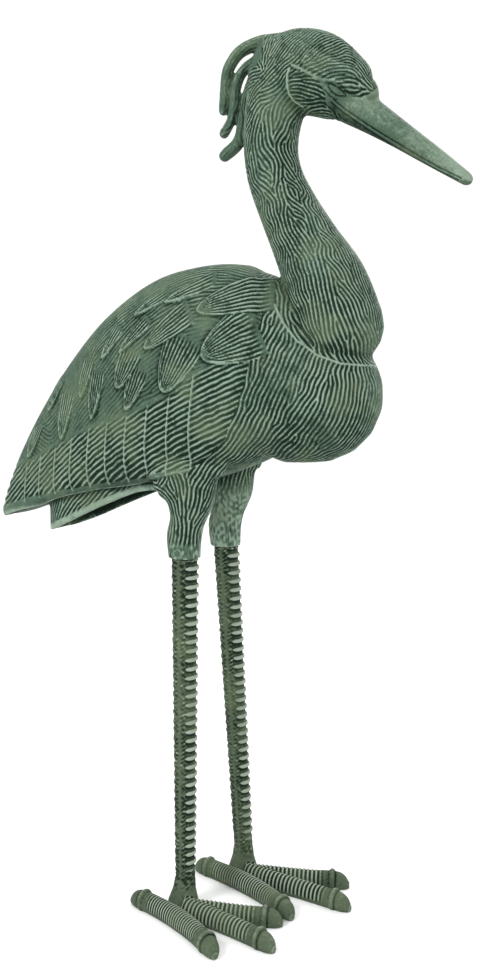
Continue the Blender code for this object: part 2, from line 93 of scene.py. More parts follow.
def sight_line(pixel):
    """The direction in which a pixel of the photograph looks, in the drawing's axes."""
    across = (pixel[0] - IMAGE[0] / 2) / FOCAL_PIXELS
    up = (IMAGE[1] / 2 - pixel[1]) / FOCAL_PIXELS
    return (CAMERA_TURN @ Vector((across, up, -1))).normalized()


def pixel_of(places):
    """The pixels where places in the drawing's axes show in the photograph."""
    seen = (places - np.array(EYE_POINT)) @ np.array(CAMERA_TURN)
    column = IMAGE[0] / 2 - FOCAL_PIXELS * seen[:, 0] / seen[:, 2]
    return column, IMAGE[1] / 2 + FOCAL_PIXELS * seen[:, 1] / seen[:, 2]


# %% [markdown]
# ## A pale studio
#
# The bird stands on a plain pale floor in an even, white light tent. The tent is the world itself,
# so there is no wall and no corner. One broad light from the front left models the relief, a weaker
# one fills from the right, and one from behind draws the back line.

# %% Floor
FLOOR_RADIUS = 9.0
FLOOR_SIDES = 96
PAPER_COLOUR = (0.95, 0.955, 0.95, 1)
PAPER_ROUGHNESS = 0.9
PAPER_SHINE = 0.1


def make_floor():
    """A plain round floor."""
    bm = bmesh.new()
    bmesh.ops.create_circle(bm, cap_ends=True, segments=FLOOR_SIDES, radius=FLOOR_RADIUS)
    mesh = bpy.data.meshes.new("floor")
    bm.to_mesh(mesh)
    bm.free()
    floor = bpy.data.objects.new("floor", mesh)
    bpy.context.scene.collection.objects.link(floor)
    paper = bpy.data.materials.new("paper")
    paper.use_nodes = True
    shader = paper.node_tree.nodes["Principled BSDF"]
    shader.inputs["Base Color"].default_value = PAPER_COLOUR
    shader.inputs["Roughness"].default_value = PAPER_ROUGHNESS
    shader.inputs["Specular IOR Level"].default_value = PAPER_SHINE
    mesh.materials.append(paper)


make_floor()
print("floor", FLOOR_RADIUS * 2, "m across")

# %% Lights and the tent
# Each light: name, place, size and power.
LIGHTS = (
    ("key", (-0.9, -2.0, 2.2), 0.9, 44),
    ("fill", (2.3, -1.2, 1.2), 1.6, 16),
    ("back", (0.4, 2.2, 2.0), 1.6, 26),
)
LIT_POINT = Vector((0.0, 0.0, 0.5))
TENT_COLOUR = (1.0, 1.0, 1.0, 1)
TENT_BRIGHTNESS = 1.05


def soft_light(name, place, size, power):
    """A round soft light that points at the middle of the bird."""
    data = bpy.data.lights.new(name, "AREA")
    data.shape = "DISK"
    data.size = size
    data.energy = power
    light = bpy.data.objects.new(name, data)
    light.location = place
    light.rotation_euler = (LIT_POINT - Vector(place)).to_track_quat("-Z", "Y").to_euler()
    bpy.context.scene.collection.objects.link(light)


for light in LIGHTS:
    soft_light(*light)
world = bpy.data.worlds.new("tent")
world.use_nodes = True
background = world.node_tree.nodes["Background"]
background.inputs["Color"].default_value = TENT_COLOUR
background.inputs["Strength"].default_value = TENT_BRIGHTNESS
bpy.context.scene.world = world
bpy.context.scene.view_settings.view_transform = "Standard"
print("lights", [light[0] for light in LIGHTS])

# %% [markdown]
# ## The bird's form
#
# These are the same stations that the solids were drawn with, so the fine casting keeps their
# outline. Each row of a limb is a station: forward, up, half depth and half width, and a smooth
# curve runs through the rows. The trunk has its own rows, because its back and belly differ.

# %% Stations of the neck, head, beak and breast
NECK = (
    (0.158, 0.632, 0.0425, 0.049),
    (0.141, 0.674, 0.0415, 0.045),
    (0.119, 0.714, 0.035, 0.036),
    (0.0985, 0.752, 0.0305, 0.031),
    (0.0835, 0.786, 0.0285, 0.028),
    (0.079, 0.818, 0.0285, 0.027),
    (0.083, 0.850, 0.031, 0.028),
    (0.092, 0.880, 0.036, 0.030),
)
HEAD = (
    (0.094, 0.886, 0.0395, 0.029),
    (0.110, 0.886, 0.041, 0.033),
    (0.130, 0.8805, 0.0405, 0.033),
    (0.154, 0.868, 0.035, 0.029),
    (0.167, 0.862, 0.0285, 0.024),
    (0.1755, 0.856, 0.0185, 0.017),
)
BEAK = (
    (0.160, 0.852, 0.0205, 0.019),
    (0.186, 0.8345, 0.0165, 0.0165),
    (0.216, 0.8135, 0.0130, 0.0135),
    (0.251, 0.7885, 0.0098, 0.0100),
    (0.282, 0.766, 0.0064, 0.0068),
)
BREAST = (
    (0.109, 0.5565, 0.067, 0.056),
    (0.131, 0.5615, 0.070, 0.058),
)

# %% Stations of the plumes and the thigh
PLUMES = (
    ((0.090, 0.9125, 0.0155, 0.010), (0.066, 0.9190, 0.0082, 0.0080), (0.044, 0.9140, 0.0066, 0.0072),
     (0.030, 0.898, 0.0062, 0.0068), (0.0265, 0.878, 0.0058, 0.0064), (0.0245, 0.857, 0.0054, 0.0060)),
    ((0.086, 0.898, 0.012, 0.010), (0.062, 0.902, 0.0058, 0.0076), (0.045, 0.892, 0.0054, 0.0070),
     (0.038, 0.873, 0.0052, 0.0066), (0.035, 0.850, 0.0050, 0.0062), (0.025, 0.834, 0.0056, 0.0060)),
    ((0.086, 0.882, 0.013, 0.011), (0.066, 0.890, 0.0074, 0.0088), (0.054, 0.872, 0.0066, 0.0076),
     (0.048, 0.848, 0.0062, 0.0070), (0.043, 0.825, 0.0072, 0.0066), (0.026, 0.8115, 0.0070, 0.0062)),
)
THIGH = (
    (0.008, 0.502, 0.046, 0.014),
    (0.004, 0.476, 0.041, 0.0215),
    (0.0085, 0.452, 0.0275, 0.0235),
    (0.0055, 0.430, 0.0190, 0.0192),
    (0.0010, 0.410, 0.0190, 0.0172),
)

# %% Stations of the trunk and the tail
# The trunk's rows: forward, back line, widest level, belly line, half width.
TRUNK = (
    (-0.272, 0.420, 0.418, 0.415, 0.003),
    (-0.260, 0.450, 0.424, 0.415, 0.011),
    (-0.236, 0.495, 0.434, 0.420, 0.021),
    (-0.205, 0.543, 0.448, 0.430, 0.031),
    (-0.161, 0.598, 0.470, 0.438, 0.045),
    (-0.110, 0.647, 0.494, 0.449, 0.058),
    (-0.050, 0.682, 0.520, 0.458, 0.069),
    (0.010, 0.694, 0.546, 0.469, 0.074),
    (0.055, 0.692, 0.560, 0.484, 0.074),
    (0.090, 0.682, 0.570, 0.499, 0.068),
    (0.125, 0.652, 0.570, 0.507, 0.056),
    (0.158, 0.622, 0.568, 0.522, 0.040),
    (0.180, 0.600, 0.568, 0.545, 0.018),
)
# The tail below the wing tips: forward, top, rim, half width.
TAIL = (
    (-0.199, 0.440, 0.401, 0.012),
    (-0.188, 0.450, 0.403, 0.025),
    (-0.160, 0.462, 0.414, 0.037),
    (-0.110, 0.480, 0.436, 0.044),
    (-0.060, 0.500, 0.455, 0.047),
    (-0.030, 0.505, 0.459, 0.048),
)
TRUNK_ROUNDNESS = 2.15
BELLY_ROUNDNESS = 2.7
TAIL_WALL = 0.006
TAIL_HOLLOW_HEIGHT = 0.030

# %% Stations of the legs
LEG_JOINT_Z = 0.389
LEG_TOP_RADIUS = 0.0147
LEG_LOW_RADIUS = 0.0116
LEG_LOW_Z = 0.048
COLLAR_LIP = 0.0015
RIGHT_LEG = {
    "top": (0.002, -0.048),
    "ankle": (0.000, -0.048),
    "toes": (((-0.056, -0.021), -10, -37, 0.148, True), ((0.012, -0.021), -5, -17, 0.117, False),
             ((0.010, -0.020), 14, 15, 0.108, False)),
}
LEFT_LEG = {
    "top": (0.006, 0.0415),
    "ankle": (0.0265, 0.049),
    "toes": (((-0.054, -0.0215), -8, -33, 0.158, True), ((0.012, -0.019), -3, -8, 0.131, False),
             ((0.010, -0.018), 15, 19, 0.119, False)),
}
LEGS = {"right": RIGHT_LEG, "left": LEFT_LEG}


def leg_point(leg, z):
    """The leg's centre line at a height."""
    share = z / LEG_JOINT_Z
    x = leg["ankle"][0] + (leg["top"][0] - leg["ankle"][0]) * share
    y = leg["ankle"][1] + (leg["top"][1] - leg["ankle"][1]) * share
    return Vector((x, y, z))


# %% [markdown]
# ## Skinning stations into closed tubes
#
# A loft joins rings of points, one quad between each pair of neighbours, and closes both ends. It
# is the simplest way from a table of stations to a closed shape, and closed shapes can be melted
# together later.

# %% Smooth rows and lofts
def smooth_rows(rows, count):
    """Read count rows from the smooth curve that passes through the given rows."""
    rows = np.asarray(rows, float)
    last = len(rows) - 1
    place = np.linspace(0, last, count)
    start = np.minimum(place.astype(int), last - 1)
    t = (place - start)[:, None]

    def row(index):
        return rows[np.clip(index, 0, last)]

    a, b, c, d = row(start - 1), row(start), row(start + 1), row(start + 2)
    return 0.5 * (2 * b + (c - a) * t + (2 * a - 5 * b + 4 * c - d) * t**2
                  + (3 * b - a - 3 * c + d) * t**3)


def add_object(name, bm):
    """Make an object of a bmesh whose faces are turned outward first."""
    bmesh.ops.recalc_face_normals(bm, faces=bm.faces)
    mesh = bpy.data.meshes.new(name)
    bm.to_mesh(mesh)
    bm.free()
    obj = bpy.data.objects.new(name, mesh)
    bpy.context.scene.collection.objects.link(obj)
    return obj


def loft(name, rings):
    """Skin a list of rings of equal point count and close both ends."""
    bm = bmesh.new()
    loops = [[bm.verts.new(point) for point in ring] for ring in rings]
    sides = len(loops[0])
    for low, high in zip(loops[:-1], loops[1:]):
        for i in range(sides):
            j = (i + 1) % sides
            bm.faces.new((low[i], low[j], high[j], high[i]))
    bm.faces.new(loops[0][::-1])
    bm.faces.new(loops[-1])
    return add_object(name, bm)


# %% Limbs
BODY_SIDES = 64
CAP_ANGLES = (80, 62, 42, 22)


def limb(name, rows, y=0.0, stations=48, sides=BODY_SIDES, round_end=True):
    """A round-ended tube through stations of forward, up, half depth and half width."""
    rows = smooth_rows(rows, stations)
    centres = np.stack([rows[:, 0], np.full(stations, y), rows[:, 1]], axis=1)
    along = np.gradient(centres, axis=0)
    along /= np.linalg.norm(along, axis=1, keepdims=True)
    angle = np.linspace(0, 2 * math.pi, sides, endpoint=False)
    across = np.array([0.0, 1.0, 0.0])

    def ring(index, shift=0.0, share=1.0):
        depth_way = np.cross(across, along[index])
        centre = centres[index] + along[index] * shift * rows[index, 2]
        depth = np.outer(np.cos(angle), depth_way) * rows[index, 2] * share
        width = np.outer(np.sin(angle), across) * rows[index, 3] * share
        return centre + depth + width

    cap = [math.radians(step) for step in CAP_ANGLES]
    rings = [ring(0, -math.sin(a), math.cos(a)) for a in cap]
    rings += [ring(i) for i in range(stations)]
    if round_end:
        rings += [ring(-1, math.sin(a), math.cos(a)) for a in reversed(cap)]
    return loft(name, rings)


# %% The trunk
TRUNK_RINGS = 120


def trunk(name):
    """The egg of the body with its folded wings, as upright rings from the tail to the breast."""
    angle = np.linspace(0, 2 * math.pi, BODY_SIDES * 2, endpoint=False)
    power = 2 / np.where(np.cos(angle) > 0, TRUNK_ROUNDNESS, BELLY_ROUNDNESS)
    across = np.sign(np.sin(angle)) * np.abs(np.sin(angle)) ** power
    up = np.sign(np.cos(angle)) * np.abs(np.cos(angle)) ** power
    rings = []
    for x, top, middle, bottom, width in smooth_rows(TRUNK, TRUNK_RINGS):
        height = np.where(up > 0, middle + up * (top - middle), middle + up * (middle - bottom))
        rings.append(np.stack([np.full_like(angle, x), across * width, height], axis=1))
    return loft(name, rings)


# %% The tail
TAIL_RINGS = 32
TAIL_LEAST_HALF = 0.002
TAIL_CORNER_SHARE = 0.25
TAIL_TOP_SHARE = 0.7
HOLLOW_FEWER_RINGS = 4


def tail_block(name, inset=0.0, drop=0.0, height=None):
    """The tail's shell outside, or with an inset the hollow inside it, open below."""
    rings = []
    for x, top, rim, width in smooth_rows(TAIL, TAIL_RINGS):
        ceiling = top if height is None else rim + height
        half = max(width - inset, TAIL_LEAST_HALF)
        shoulder = ceiling - (ceiling - rim) * TAIL_CORNER_SHARE
        rings.append([
            (x, -half, rim - drop), (x, half, rim - drop),
            (x, half, shoulder), (x, half * TAIL_TOP_SHARE, ceiling),
            (x, -half * TAIL_TOP_SHARE, ceiling), (x, -half, shoulder),
        ])
    if inset:
        rings = rings[HOLLOW_FEWER_RINGS:-HOLLOW_FEWER_RINGS]
    return loft(name, rings)


# %% [markdown]
# ## Melting the parts into one skin
#
# A voxel remesh turns the overlapping lofts into one even skin, the way wax fills the joins of a
# pattern. The tail is then hollowed from below and the thighs are cut square for the legs, and a
# second, finer remesh gives small even faces that can carry the carving.

# %% Skin helpers
def bake(obj):
    """Give the object the mesh that its modifiers make, and drop them."""
    bpy.context.view_layer.update()
    graph = bpy.context.evaluated_depsgraph_get()
    mesh = bpy.data.meshes.new_from_object(obj.evaluated_get(graph))
    obj.modifiers.clear()
    obj.data = mesh


def join(name, parts):
    """Put several closed shapes into one mesh and delete the shapes."""
    joined = bmesh.new()
    for part in parts:
        joined.from_mesh(part.data)
        bpy.data.objects.remove(part, do_unlink=True)
    return add_object(name, joined)


def melt(obj, voxel, rounds, factor=0.5):
    """Make one even skin of the object's shapes and soften it."""
    skin = obj.modifiers.new("skin", "REMESH")
    skin.mode = "VOXEL"
    skin.voxel_size = voxel
    soften = obj.modifiers.new("soften", "SMOOTH")
    soften.factor = factor
    soften.iterations = rounds
    bake(obj)


def cut(obj, cutters):
    """Take the cutters' shapes out of the object and delete them."""
    for cutter in cutters:
        modifier = obj.modifiers.new(cutter.name, "BOOLEAN")
        modifier.operation = "DIFFERENCE"
        modifier.solver = "EXACT"
        modifier.object = cutter
    bake(obj)
    for cutter in cutters:
        bpy.data.objects.remove(cutter, do_unlink=True)


# %% Reading and moving the points of a skin
def points_of(obj):
    points = np.empty(len(obj.data.vertices) * 3)
    obj.data.vertices.foreach_get("co", points)
    return points.reshape(-1, 3)


def normals_of(obj):
    normals = np.empty(len(obj.data.vertices) * 3)
    obj.data.vertex_normals.foreach_get("vector", normals)
    return normals.reshape(-1, 3)


def move_points(obj, points):
    obj.data.vertices.foreach_set("co", points.ravel())
    obj.data.update()


# %% Closed shapes of the body
ROD_SIDES = 48
PLUME_SIDES = 24


def upright_rod(name, centre, low, high, radius):
    """A plain upright rod, given where it starts and ends below or above its centre."""
    angle = np.linspace(0, 2 * math.pi, ROD_SIDES, endpoint=False)
    rings = []
    for level in (low, high):
        rings.append([centre + Vector((radius * math.cos(a), radius * math.sin(a), level)) for a in angle])
    return loft(name, rings)


parts = [trunk("trunk"), tail_block("tail"), limb("breast", BREAST), limb("neck", NECK),
         limb("head", HEAD), limb("beak", BEAK)]
parts += [limb(f"plume_{i + 1}", rows, sides=PLUME_SIDES) for i, rows in enumerate(PLUMES)]
for side, leg in LEGS.items():
    joint_x, joint_y = leg["top"]
    shift = joint_x - RIGHT_LEG["top"][0]
    top_z = THIGH[0][1]
    rows = []
    for x, z, depth, width in THIGH:
        rows.append((x + shift * (top_z - z) / (top_z - LEG_JOINT_Z), z, depth, width))
    end_radius = LEG_TOP_RADIUS + COLLAR_LIP
    rows.append((joint_x, LEG_JOINT_Z - end_radius / 2, end_radius, end_radius))
    parts.append(limb(f"{side}_thigh", rows, y=joint_y, round_end=False))
print("closed shapes", len(parts))

# %% The body's smooth skin
FORM_VOXEL = 0.0022
FORM_SOFTENING = 3
FINE_VOXEL = 0.00125
FINE_SOFTENING = 2
THIGH_TRIM_DEPTH = 0.03
HOLLOW_DROP = 0.02

body = join("body_casting", parts)
melt(body, FORM_VOXEL, FORM_SOFTENING)
cutters = [tail_block("tail_hollow", TAIL_WALL, HOLLOW_DROP, TAIL_HOLLOW_HEIGHT)]
for side, leg in LEGS.items():
    joint = leg_point(leg, LEG_JOINT_Z)
    cutters.append(upright_rod(f"{side}_trim", joint, -THIGH_TRIM_DEPTH, 0.0, LEG_TOP_RADIUS * 2))
cut(body, cutters)
melt(body, FINE_VOXEL, FINE_SOFTENING)
print("fine skin", len(body.data.vertices), "points")

# %% [markdown]
# ## Laying strokes where the photograph shows them
#
# The plumage has no simple formula: it runs down the neck, turns off the breast and gathers on
# the thigh. So we lay a few long strokes over the photograph, in its pixels, and cast each one
# from the camera onto the skin. The left side gets the same strokes, mirrored.

# %% Cast a pixel onto the skin
BIRD_MIDDLE = Vector((0.05, -0.04, 0.6))

skin_tree = BVHTree.FromObject(body, bpy.context.evaluated_depsgraph_get())


def on_skin(pixel):
    """Where the photograph's pixel lands on the bird, or the nearest skin if it just misses."""
    way = sight_line(pixel)
    hit = skin_tree.ray_cast(EYE_POINT, way)[0]
    if hit is None:
        hit = skin_tree.find_nearest(EYE_POINT + way * (BIRD_MIDDLE - EYE_POINT).dot(way))[0]
    return hit


# %% Strokes of the crown and brow
CROWN_STROKES = (
    ((262, 40), (258, 52), (262, 64)),
    ((274, 33), (266, 45), (263, 61)),
    ((289, 35), (276, 49), (268, 64)),
    ((307, 36), (292, 53), (281, 65)),
    ((320, 40), (305, 55), (292, 66)),
    ((334, 44), (319, 58), (304, 68)),
    ((342, 53), (325, 64), (308, 72)),
    ((336, 63), (323, 70), (312, 75)),
    ((334, 73), (325, 77), (317, 78)),
)
BROW_STROKES = (
    ((335, 56), (350, 58), (362, 70), (368, 84)),
    ((334, 66), (350, 68), (364, 79)),
    ((335, 75), (351, 76), (366, 85)),
    ((342, 82), (356, 85), (368, 90)),
    ((347, 90), (358, 93), (367, 93)),
)

# %% Strokes of the cheek, chin, neck and plumes
CHEEK_STROKES = (
    ((289, 73), (298, 72), (306, 74)),
    ((288, 81), (298, 81), (314, 85), (323, 87)),
    ((290, 90), (304, 90), (323, 95)),
    ((294, 97), (306, 100), (325, 98)),
    ((302, 108), (318, 109), (334, 116)),
    ((326, 106), (334, 115), (341, 119)),
)
NECK_STROKES = (
    ((282, 73), (269, 87), (254, 99), (247, 123), (245, 148), (251, 178), (262, 215), (276, 249),
     (282, 283), (287, 317), (300, 342)),
    ((286, 80), (277, 96), (263, 110), (258, 132), (259, 156), (268, 182), (284, 212), (298, 240),
     (310, 270), (317, 300), (322, 330), (331, 357)),
    ((291, 100), (284, 115), (276, 130), (276, 150), (281, 166), (294, 190), (312, 216), (328, 245),
     (344, 275), (356, 300), (365, 328), (368, 352)),
    ((304, 108), (296, 116), (290, 131), (287, 148), (292, 164), (306, 190), (322, 218), (337, 245),
     (354, 275), (367, 300), (374, 325), (376, 350)),
)
PLUME_STROKES = (
    ((251, 40), (238, 46), (228, 66), (225, 91), (223, 117)),
    ((251, 66), (238, 74), (232, 99), (231, 123), (225, 138)),
    ((257, 74), (245, 87), (238, 110), (238, 136), (228, 156)),
)

# %% Strokes of the breast, belly, thigh and tail
BREAST_STROKES = (
    ((264, 319), (251, 350), (246, 375), (237, 406), (222, 440), (206, 458), (193, 471)),
    ((287, 333), (271, 366), (258, 395), (246, 424), (229, 451), (211, 473)),
    ((307, 350), (296, 375), (282, 406), (264, 435), (242, 458), (224, 473)),
    ((325, 362), (318, 384), (307, 406), (291, 429), (273, 446)),
    ((340, 370), (338, 395), (327, 424), (309, 446), (296, 458)),
    ((362, 370), (362, 395), (356, 424), (338, 446), (313, 458)),
    ((378, 370), (380, 395), (371, 424)),
)
THIGH_STROKES = (
    ((148, 484), (164, 492), (175, 512), (177, 538)),
    ((175, 474), (182, 496), (184, 536)),
    ((206, 470), (195, 507), (188, 536)),
    ((229, 468), (213, 500), (195, 529)),
)
TAIL_STROKES = (
    ((170, 467), (160, 483)),
    ((145, 471), (134, 488)),
    ((127, 476), (108, 499)),
    ((95, 489), (73, 517)),
    ((84, 491), (66, 510), (60, 524)),
    ((60, 500), (56, 522)),
)
BACK_STROKES = (
    ((274, 292), (250, 277), (215, 272), (180, 280), (140, 304), (100, 340), (70, 385), (40, 430),
     (14, 482)),
    ((272, 303), (240, 292), (205, 292), (170, 306), (135, 332), (105, 368), (80, 405), (60, 440)),
)


# %% Cast the strokes and walk along them
STROKE_STEP = 0.006


def cast_stroke(pixels):
    """Points and directions every few millimetres along a stroke cast on the skin."""
    corners = np.array([on_skin(pixel) for pixel in pixels])
    length = np.linalg.norm(np.diff(corners, axis=0), axis=1).sum()
    path = smooth_rows(corners, max(3, int(length / STROKE_STEP)))
    way = np.gradient(path, axis=0)
    return path, way / np.linalg.norm(way, axis=1, keepdims=True)


def cast_strokes(strokes):
    """Both sides' points and directions of a set of strokes."""
    found = [cast_stroke(pixels) for pixels in strokes]
    places = np.concatenate([place for place, way in found])
    ways = np.concatenate([way for place, way in found])
    mirror = np.array([1, -1, 1])
    return np.concatenate([places, places * mirror]), np.concatenate([ways, ways * mirror])


upper_flow = cast_strokes(CROWN_STROKES + BROW_STROKES + CHEEK_STROKES + NECK_STROKES + PLUME_STROKES)
lower_flow = cast_strokes(BREAST_STROKES + THIGH_STROKES + TAIL_STROKES)
back_flow = cast_strokes(BACK_STROKES)
print("stroke points", len(upper_flow[0]), len(lower_flow[0]), len(back_flow[0]))

# %% [markdown]
# ## The map of the plumage
#
# Each point of the skin belongs to one field: neck and head, breast and thighs, back, the band of
# quill shafts, or one leaf-shaped feather. Borders are named lines in the side view.

# %% Borders in the side view
WING_EDGE = ((-0.276, 0.412), (-0.218, 0.429), (-0.166, 0.443), (-0.105, 0.457), (-0.039, 0.469),
             (0.034, 0.487), (0.076, 0.508))
WING_FRONT = ((0.480, 0.012), (0.499, 0.038), (0.517, 0.059), (0.551, 0.075), (0.582, 0.084),
              (0.606, 0.089), (0.637, 0.094), (0.664, 0.092), (0.678, 0.084), (0.700, 0.060))
CREASE = ((0.050, 0.715), (0.085, 0.690), (0.102, 0.652), (0.113, 0.634), (0.128, 0.616),
          (0.148, 0.602), (0.172, 0.593), (0.193, 0.591), (0.210, 0.590))
WING_TOP_LIMIT = 0.714
EDGE_SOFTNESS = 0.0022
FLANK_FADE = (0.15, 0.45)


def between(value, low, high):
    """0 below low and 1 above high, smooth in between."""
    t = np.clip((value - low) / (high - low), 0, 1)
    return t * t * (3 - 2 * t)


def ridge(distance, width):
    """1 on a line and 0 from the given distance on."""
    return 1 - between(np.abs(distance), 0, width)


def line_distance(x, z, line):
    """Distance in the side view to a broken line."""
    best = np.full_like(x, 1e9)
    for (x0, z0), (x1, z1) in zip(line[:-1], line[1:]):
        dx, dz = x1 - x0, z1 - z0
        t = np.clip(((x - x0) * dx + (z - z0) * dz) / (dx * dx + dz * dz), 0, 1)
        best = np.minimum(best, np.hypot(x - x0 - t * dx, z - z0 - t * dz))
    return best


# %% Which field each point belongs to
points, normals = points_of(body), normals_of(body)
x, y, z = points.T
flank = between(np.abs(normals[:, 1]), *FLANK_FADE)
above_edge = z - np.interp(x, *np.transpose(WING_EDGE))
front_z, front_x = np.transpose(WING_FRONT)
behind_front = np.interp(z, front_z, front_x) - x
in_wing = (above_edge > 0) & (behind_front > 0) & (z < WING_TOP_LIMIT)
in_neck = (z > np.interp(x, *np.transpose(CREASE))) & ~in_wing
column, row = pixel_of(np.stack([x, -np.abs(y), z], axis=1))
print("wing", int(in_wing.sum()), "neck and head", int(in_neck.sum()))

# %% [markdown]
# ## Waves without a texture
#
# Hand-cut strands waver. A sum of a few plane waves with set directions gives a smooth wavering
# number at every point, the same on each run, and it needs no texture.

# %% Waver
WAVE_COUNT = 10
WAVE_STRETCH = (0.7, 1.5)
WAVE_SCALE = 4


def waver(places, size, *, seed):
    """A smooth random number of about -1 to 1 whose ups and downs are about size apart."""
    draw = np.random.default_rng(seed)
    total = np.zeros(len(places))
    for _ in range(WAVE_COUNT):
        way = draw.normal(size=3)
        way *= 2 * math.pi / (size * draw.uniform(*WAVE_STRETCH)) / np.linalg.norm(way)
        total += np.sin(places @ way + draw.uniform(0, 2 * math.pi))
    return total / WAVE_SCALE


# %% [markdown]
# ## Leaf-shaped feathers
#
# The coverts lie on the wing like leaves, tips down and back, each one proud at its tip and sunk
# in under the next row at its root. A leaf is given by its tip, the way it points, its length and
# its half width. Its strokes run like the meridians of a globe, so they gather at the tip, and a
# rounded rim runs round it.

# %% Leaves of the wing: tip forward and up, heading in degrees, length, half width, strokes
LEAVES = (
    (-0.151, 0.510, 266, 0.058, 0.0125, 6),
    (-0.102, 0.534, 267, 0.056, 0.0110, 6),
    (-0.053, 0.545, 250, 0.050, 0.0125, 6),
    (-0.006, 0.564, 246, 0.064, 0.0240, 10),
    (-0.213, 0.486, 249, 0.044, 0.0090, 5),
    (-0.121, 0.556, 263, 0.045, 0.0095, 5),
    (-0.066, 0.567, 249, 0.046, 0.0155, 7),
    (-0.093, 0.598, 243, 0.040, 0.0080, 4),
    (-0.033, 0.608, 217, 0.066, 0.0150, 7),
    (-0.067, 0.604, 228, 0.050, 0.0075, 4),
    (-0.179, 0.540, 251, 0.042, 0.0085, 5),
    (-0.016, 0.654, 205, 0.060, 0.0085, 4),
    (-0.054, 0.642, 215, 0.046, 0.0070, 4),
    (0.038, 0.599, 208, 0.064, 0.0280, 12),
    (0.026, 0.645, 196, 0.078, 0.0200, 9),
)
LEAF_RISE = 0.0030
LEAF_SLOPE = 0.8
LEAF_POINT = 0.55
LEAF_RIM_WIDTH = 0.0013
LEAF_RIM_RISE = 0.0002
LEAF_TIP_WEAR = 0.34
LEAF_SHADOW_WIDTH = 0.0018
LEAF_TIP_SHARE = (0.35, 0.75)
LEAF_RIM_INSIDE = 0.7
LEAF_SHADOW_CORE = 0.4
FINEST_STROKE = (0.0010, 0.0021)
ROOT_FADE = (0.80, 0.97)


# %% One leaf
def leaf_fields(tip_x, tip_z, heading, length, half_width, strokes):
    """Height of a leaf, its rim and the painted shadow beside it, the phase of its strokes and how
    strongly they are cut.
    """
    c, s = math.cos(math.radians(heading)), math.sin(math.radians(heading))
    back = -((x - tip_x) * c + (z - tip_z) * s)
    across = (x - tip_x) * s - (z - tip_z) * c
    share = np.clip(back / length, 0, 1)
    half = half_width * np.maximum(np.sin(share * math.pi / 2), 1e-3) ** LEAF_POINT
    margin = np.where(back > 0, half - np.abs(across), -np.hypot(back, across))
    covered = between(margin, -EDGE_SOFTNESS / 2, EDGE_SOFTNESS / 2) * (share < 1)
    height = covered * LEAF_RISE * (1 - share) ** LEAF_SLOPE
    near_tip = 1 - between(share, *LEAF_TIP_SHARE)
    rim = covered * ridge(margin - LEAF_RIM_WIDTH * LEAF_RIM_INSIDE, LEAF_RIM_WIDTH) * near_tip
    faded = between(-margin, LEAF_SHADOW_WIDTH * LEAF_SHADOW_CORE, LEAF_SHADOW_WIDTH)
    shadow = (1 - covered) * (1 - faded) * near_tip
    stroke_phase = across / half * strokes * math.pi
    clear = between(2 * half / strokes, *FINEST_STROKE) * (1 - between(share, *ROOT_FADE))
    return height, rim, shadow, stroke_phase, clear


# %% Lay the leaves on the wing, the higher one over the lower one
LEAF_LEAD = 1e-5
LEAF_BODY_SHARE = 0.07

leaf_height = np.zeros_like(x)
leaf_rim = np.zeros_like(x)
leaf_shadow = np.zeros_like(x)
leaf_phase = np.zeros_like(x)
leaf_clear = np.zeros_like(x)
for leaf in LEAVES:
    height, rim, shadow, stroke_phase, clear = leaf_fields(*leaf)
    height = height * flank
    leaf_shadow = np.maximum(leaf_shadow, shadow * flank)
    higher = height > leaf_height + LEAF_LEAD
    leaf_height[higher] = height[higher]
    leaf_rim[higher] = rim[higher] * flank[higher]
    leaf_phase[higher] = stroke_phase[higher]
    leaf_clear[higher] = clear[higher]
in_leaf = leaf_height > LEAF_RISE * LEAF_BODY_SHARE
print("points on leaves", int(in_leaf.sum()))

# %% [markdown]
# ## Quills
#
# Below the leaves the long wing feathers hang side by side. Each has a thin raised quill, and
# short slanted barbs fill the space between two quills. The barbs lean more towards the tail.

# %% Sizes of the quills and barbs
SHAFT_COUNT = 10
SHAFT_FIRST = -0.222
SHAFT_LAST = 0.018
SHAFT_LEAN = 0.12
SHAFT_WIDTH = 0.0019
SHAFT_RISE = 0.0012
PLAIN_BAND = ((-0.220, 0.0100), (-0.050, 0.0070), (0.020, 0.0030))
BAND_TOP = ((-0.200, 0.055), (-0.150, 0.066), (-0.100, 0.072), (-0.050, 0.078), (0.000, 0.086),
            (0.030, 0.100), (0.080, 0.106))
BARB_PITCH = 0.0054
BARB_LEAN_FRONT = math.radians(23)
BARB_LEAN_REAR = math.radians(41)
BARB_CURVE = 4.0
BARB_SHIFT = 2.4

# %% Quills and barbs
shaft_pitch = (SHAFT_LAST - SHAFT_FIRST) / (SHAFT_COUNT - 1)
below_top = np.interp(x, *np.transpose(BAND_TOP)) - above_edge
above_band = above_edge - np.interp(x, *np.transpose(PLAIN_BAND))
in_band = in_wing & ~in_leaf & (above_edge > 0) & (below_top > 0)
in_pitches = (x - above_edge * SHAFT_LEAN - SHAFT_FIRST) / shaft_pitch
cell = np.clip(np.floor(in_pitches), 0, SHAFT_COUNT - 1)
nearest_shaft = np.round(in_pitches)
shaft = ridge((in_pitches - nearest_shaft) * shaft_pitch, SHAFT_WIDTH)
shaft *= (nearest_shaft >= 0) & (nearest_shaft < SHAFT_COUNT)
lean = BARB_LEAN_REAR + (BARB_LEAN_FRONT - BARB_LEAN_REAR) * np.clip(cell / SHAFT_COUNT, 0, 1)
into_cell = (in_pitches - cell) * shaft_pitch
sag = BARB_CURVE * np.minimum(into_cell * (into_cell - shaft_pitch), 0)
climb = z - into_cell * np.tan(lean) + sag
barb_phase = climb * np.cos(lean) / BARB_PITCH * 2 * math.pi + cell * BARB_SHIFT
print("points in the quill band", int(in_band.sum()))

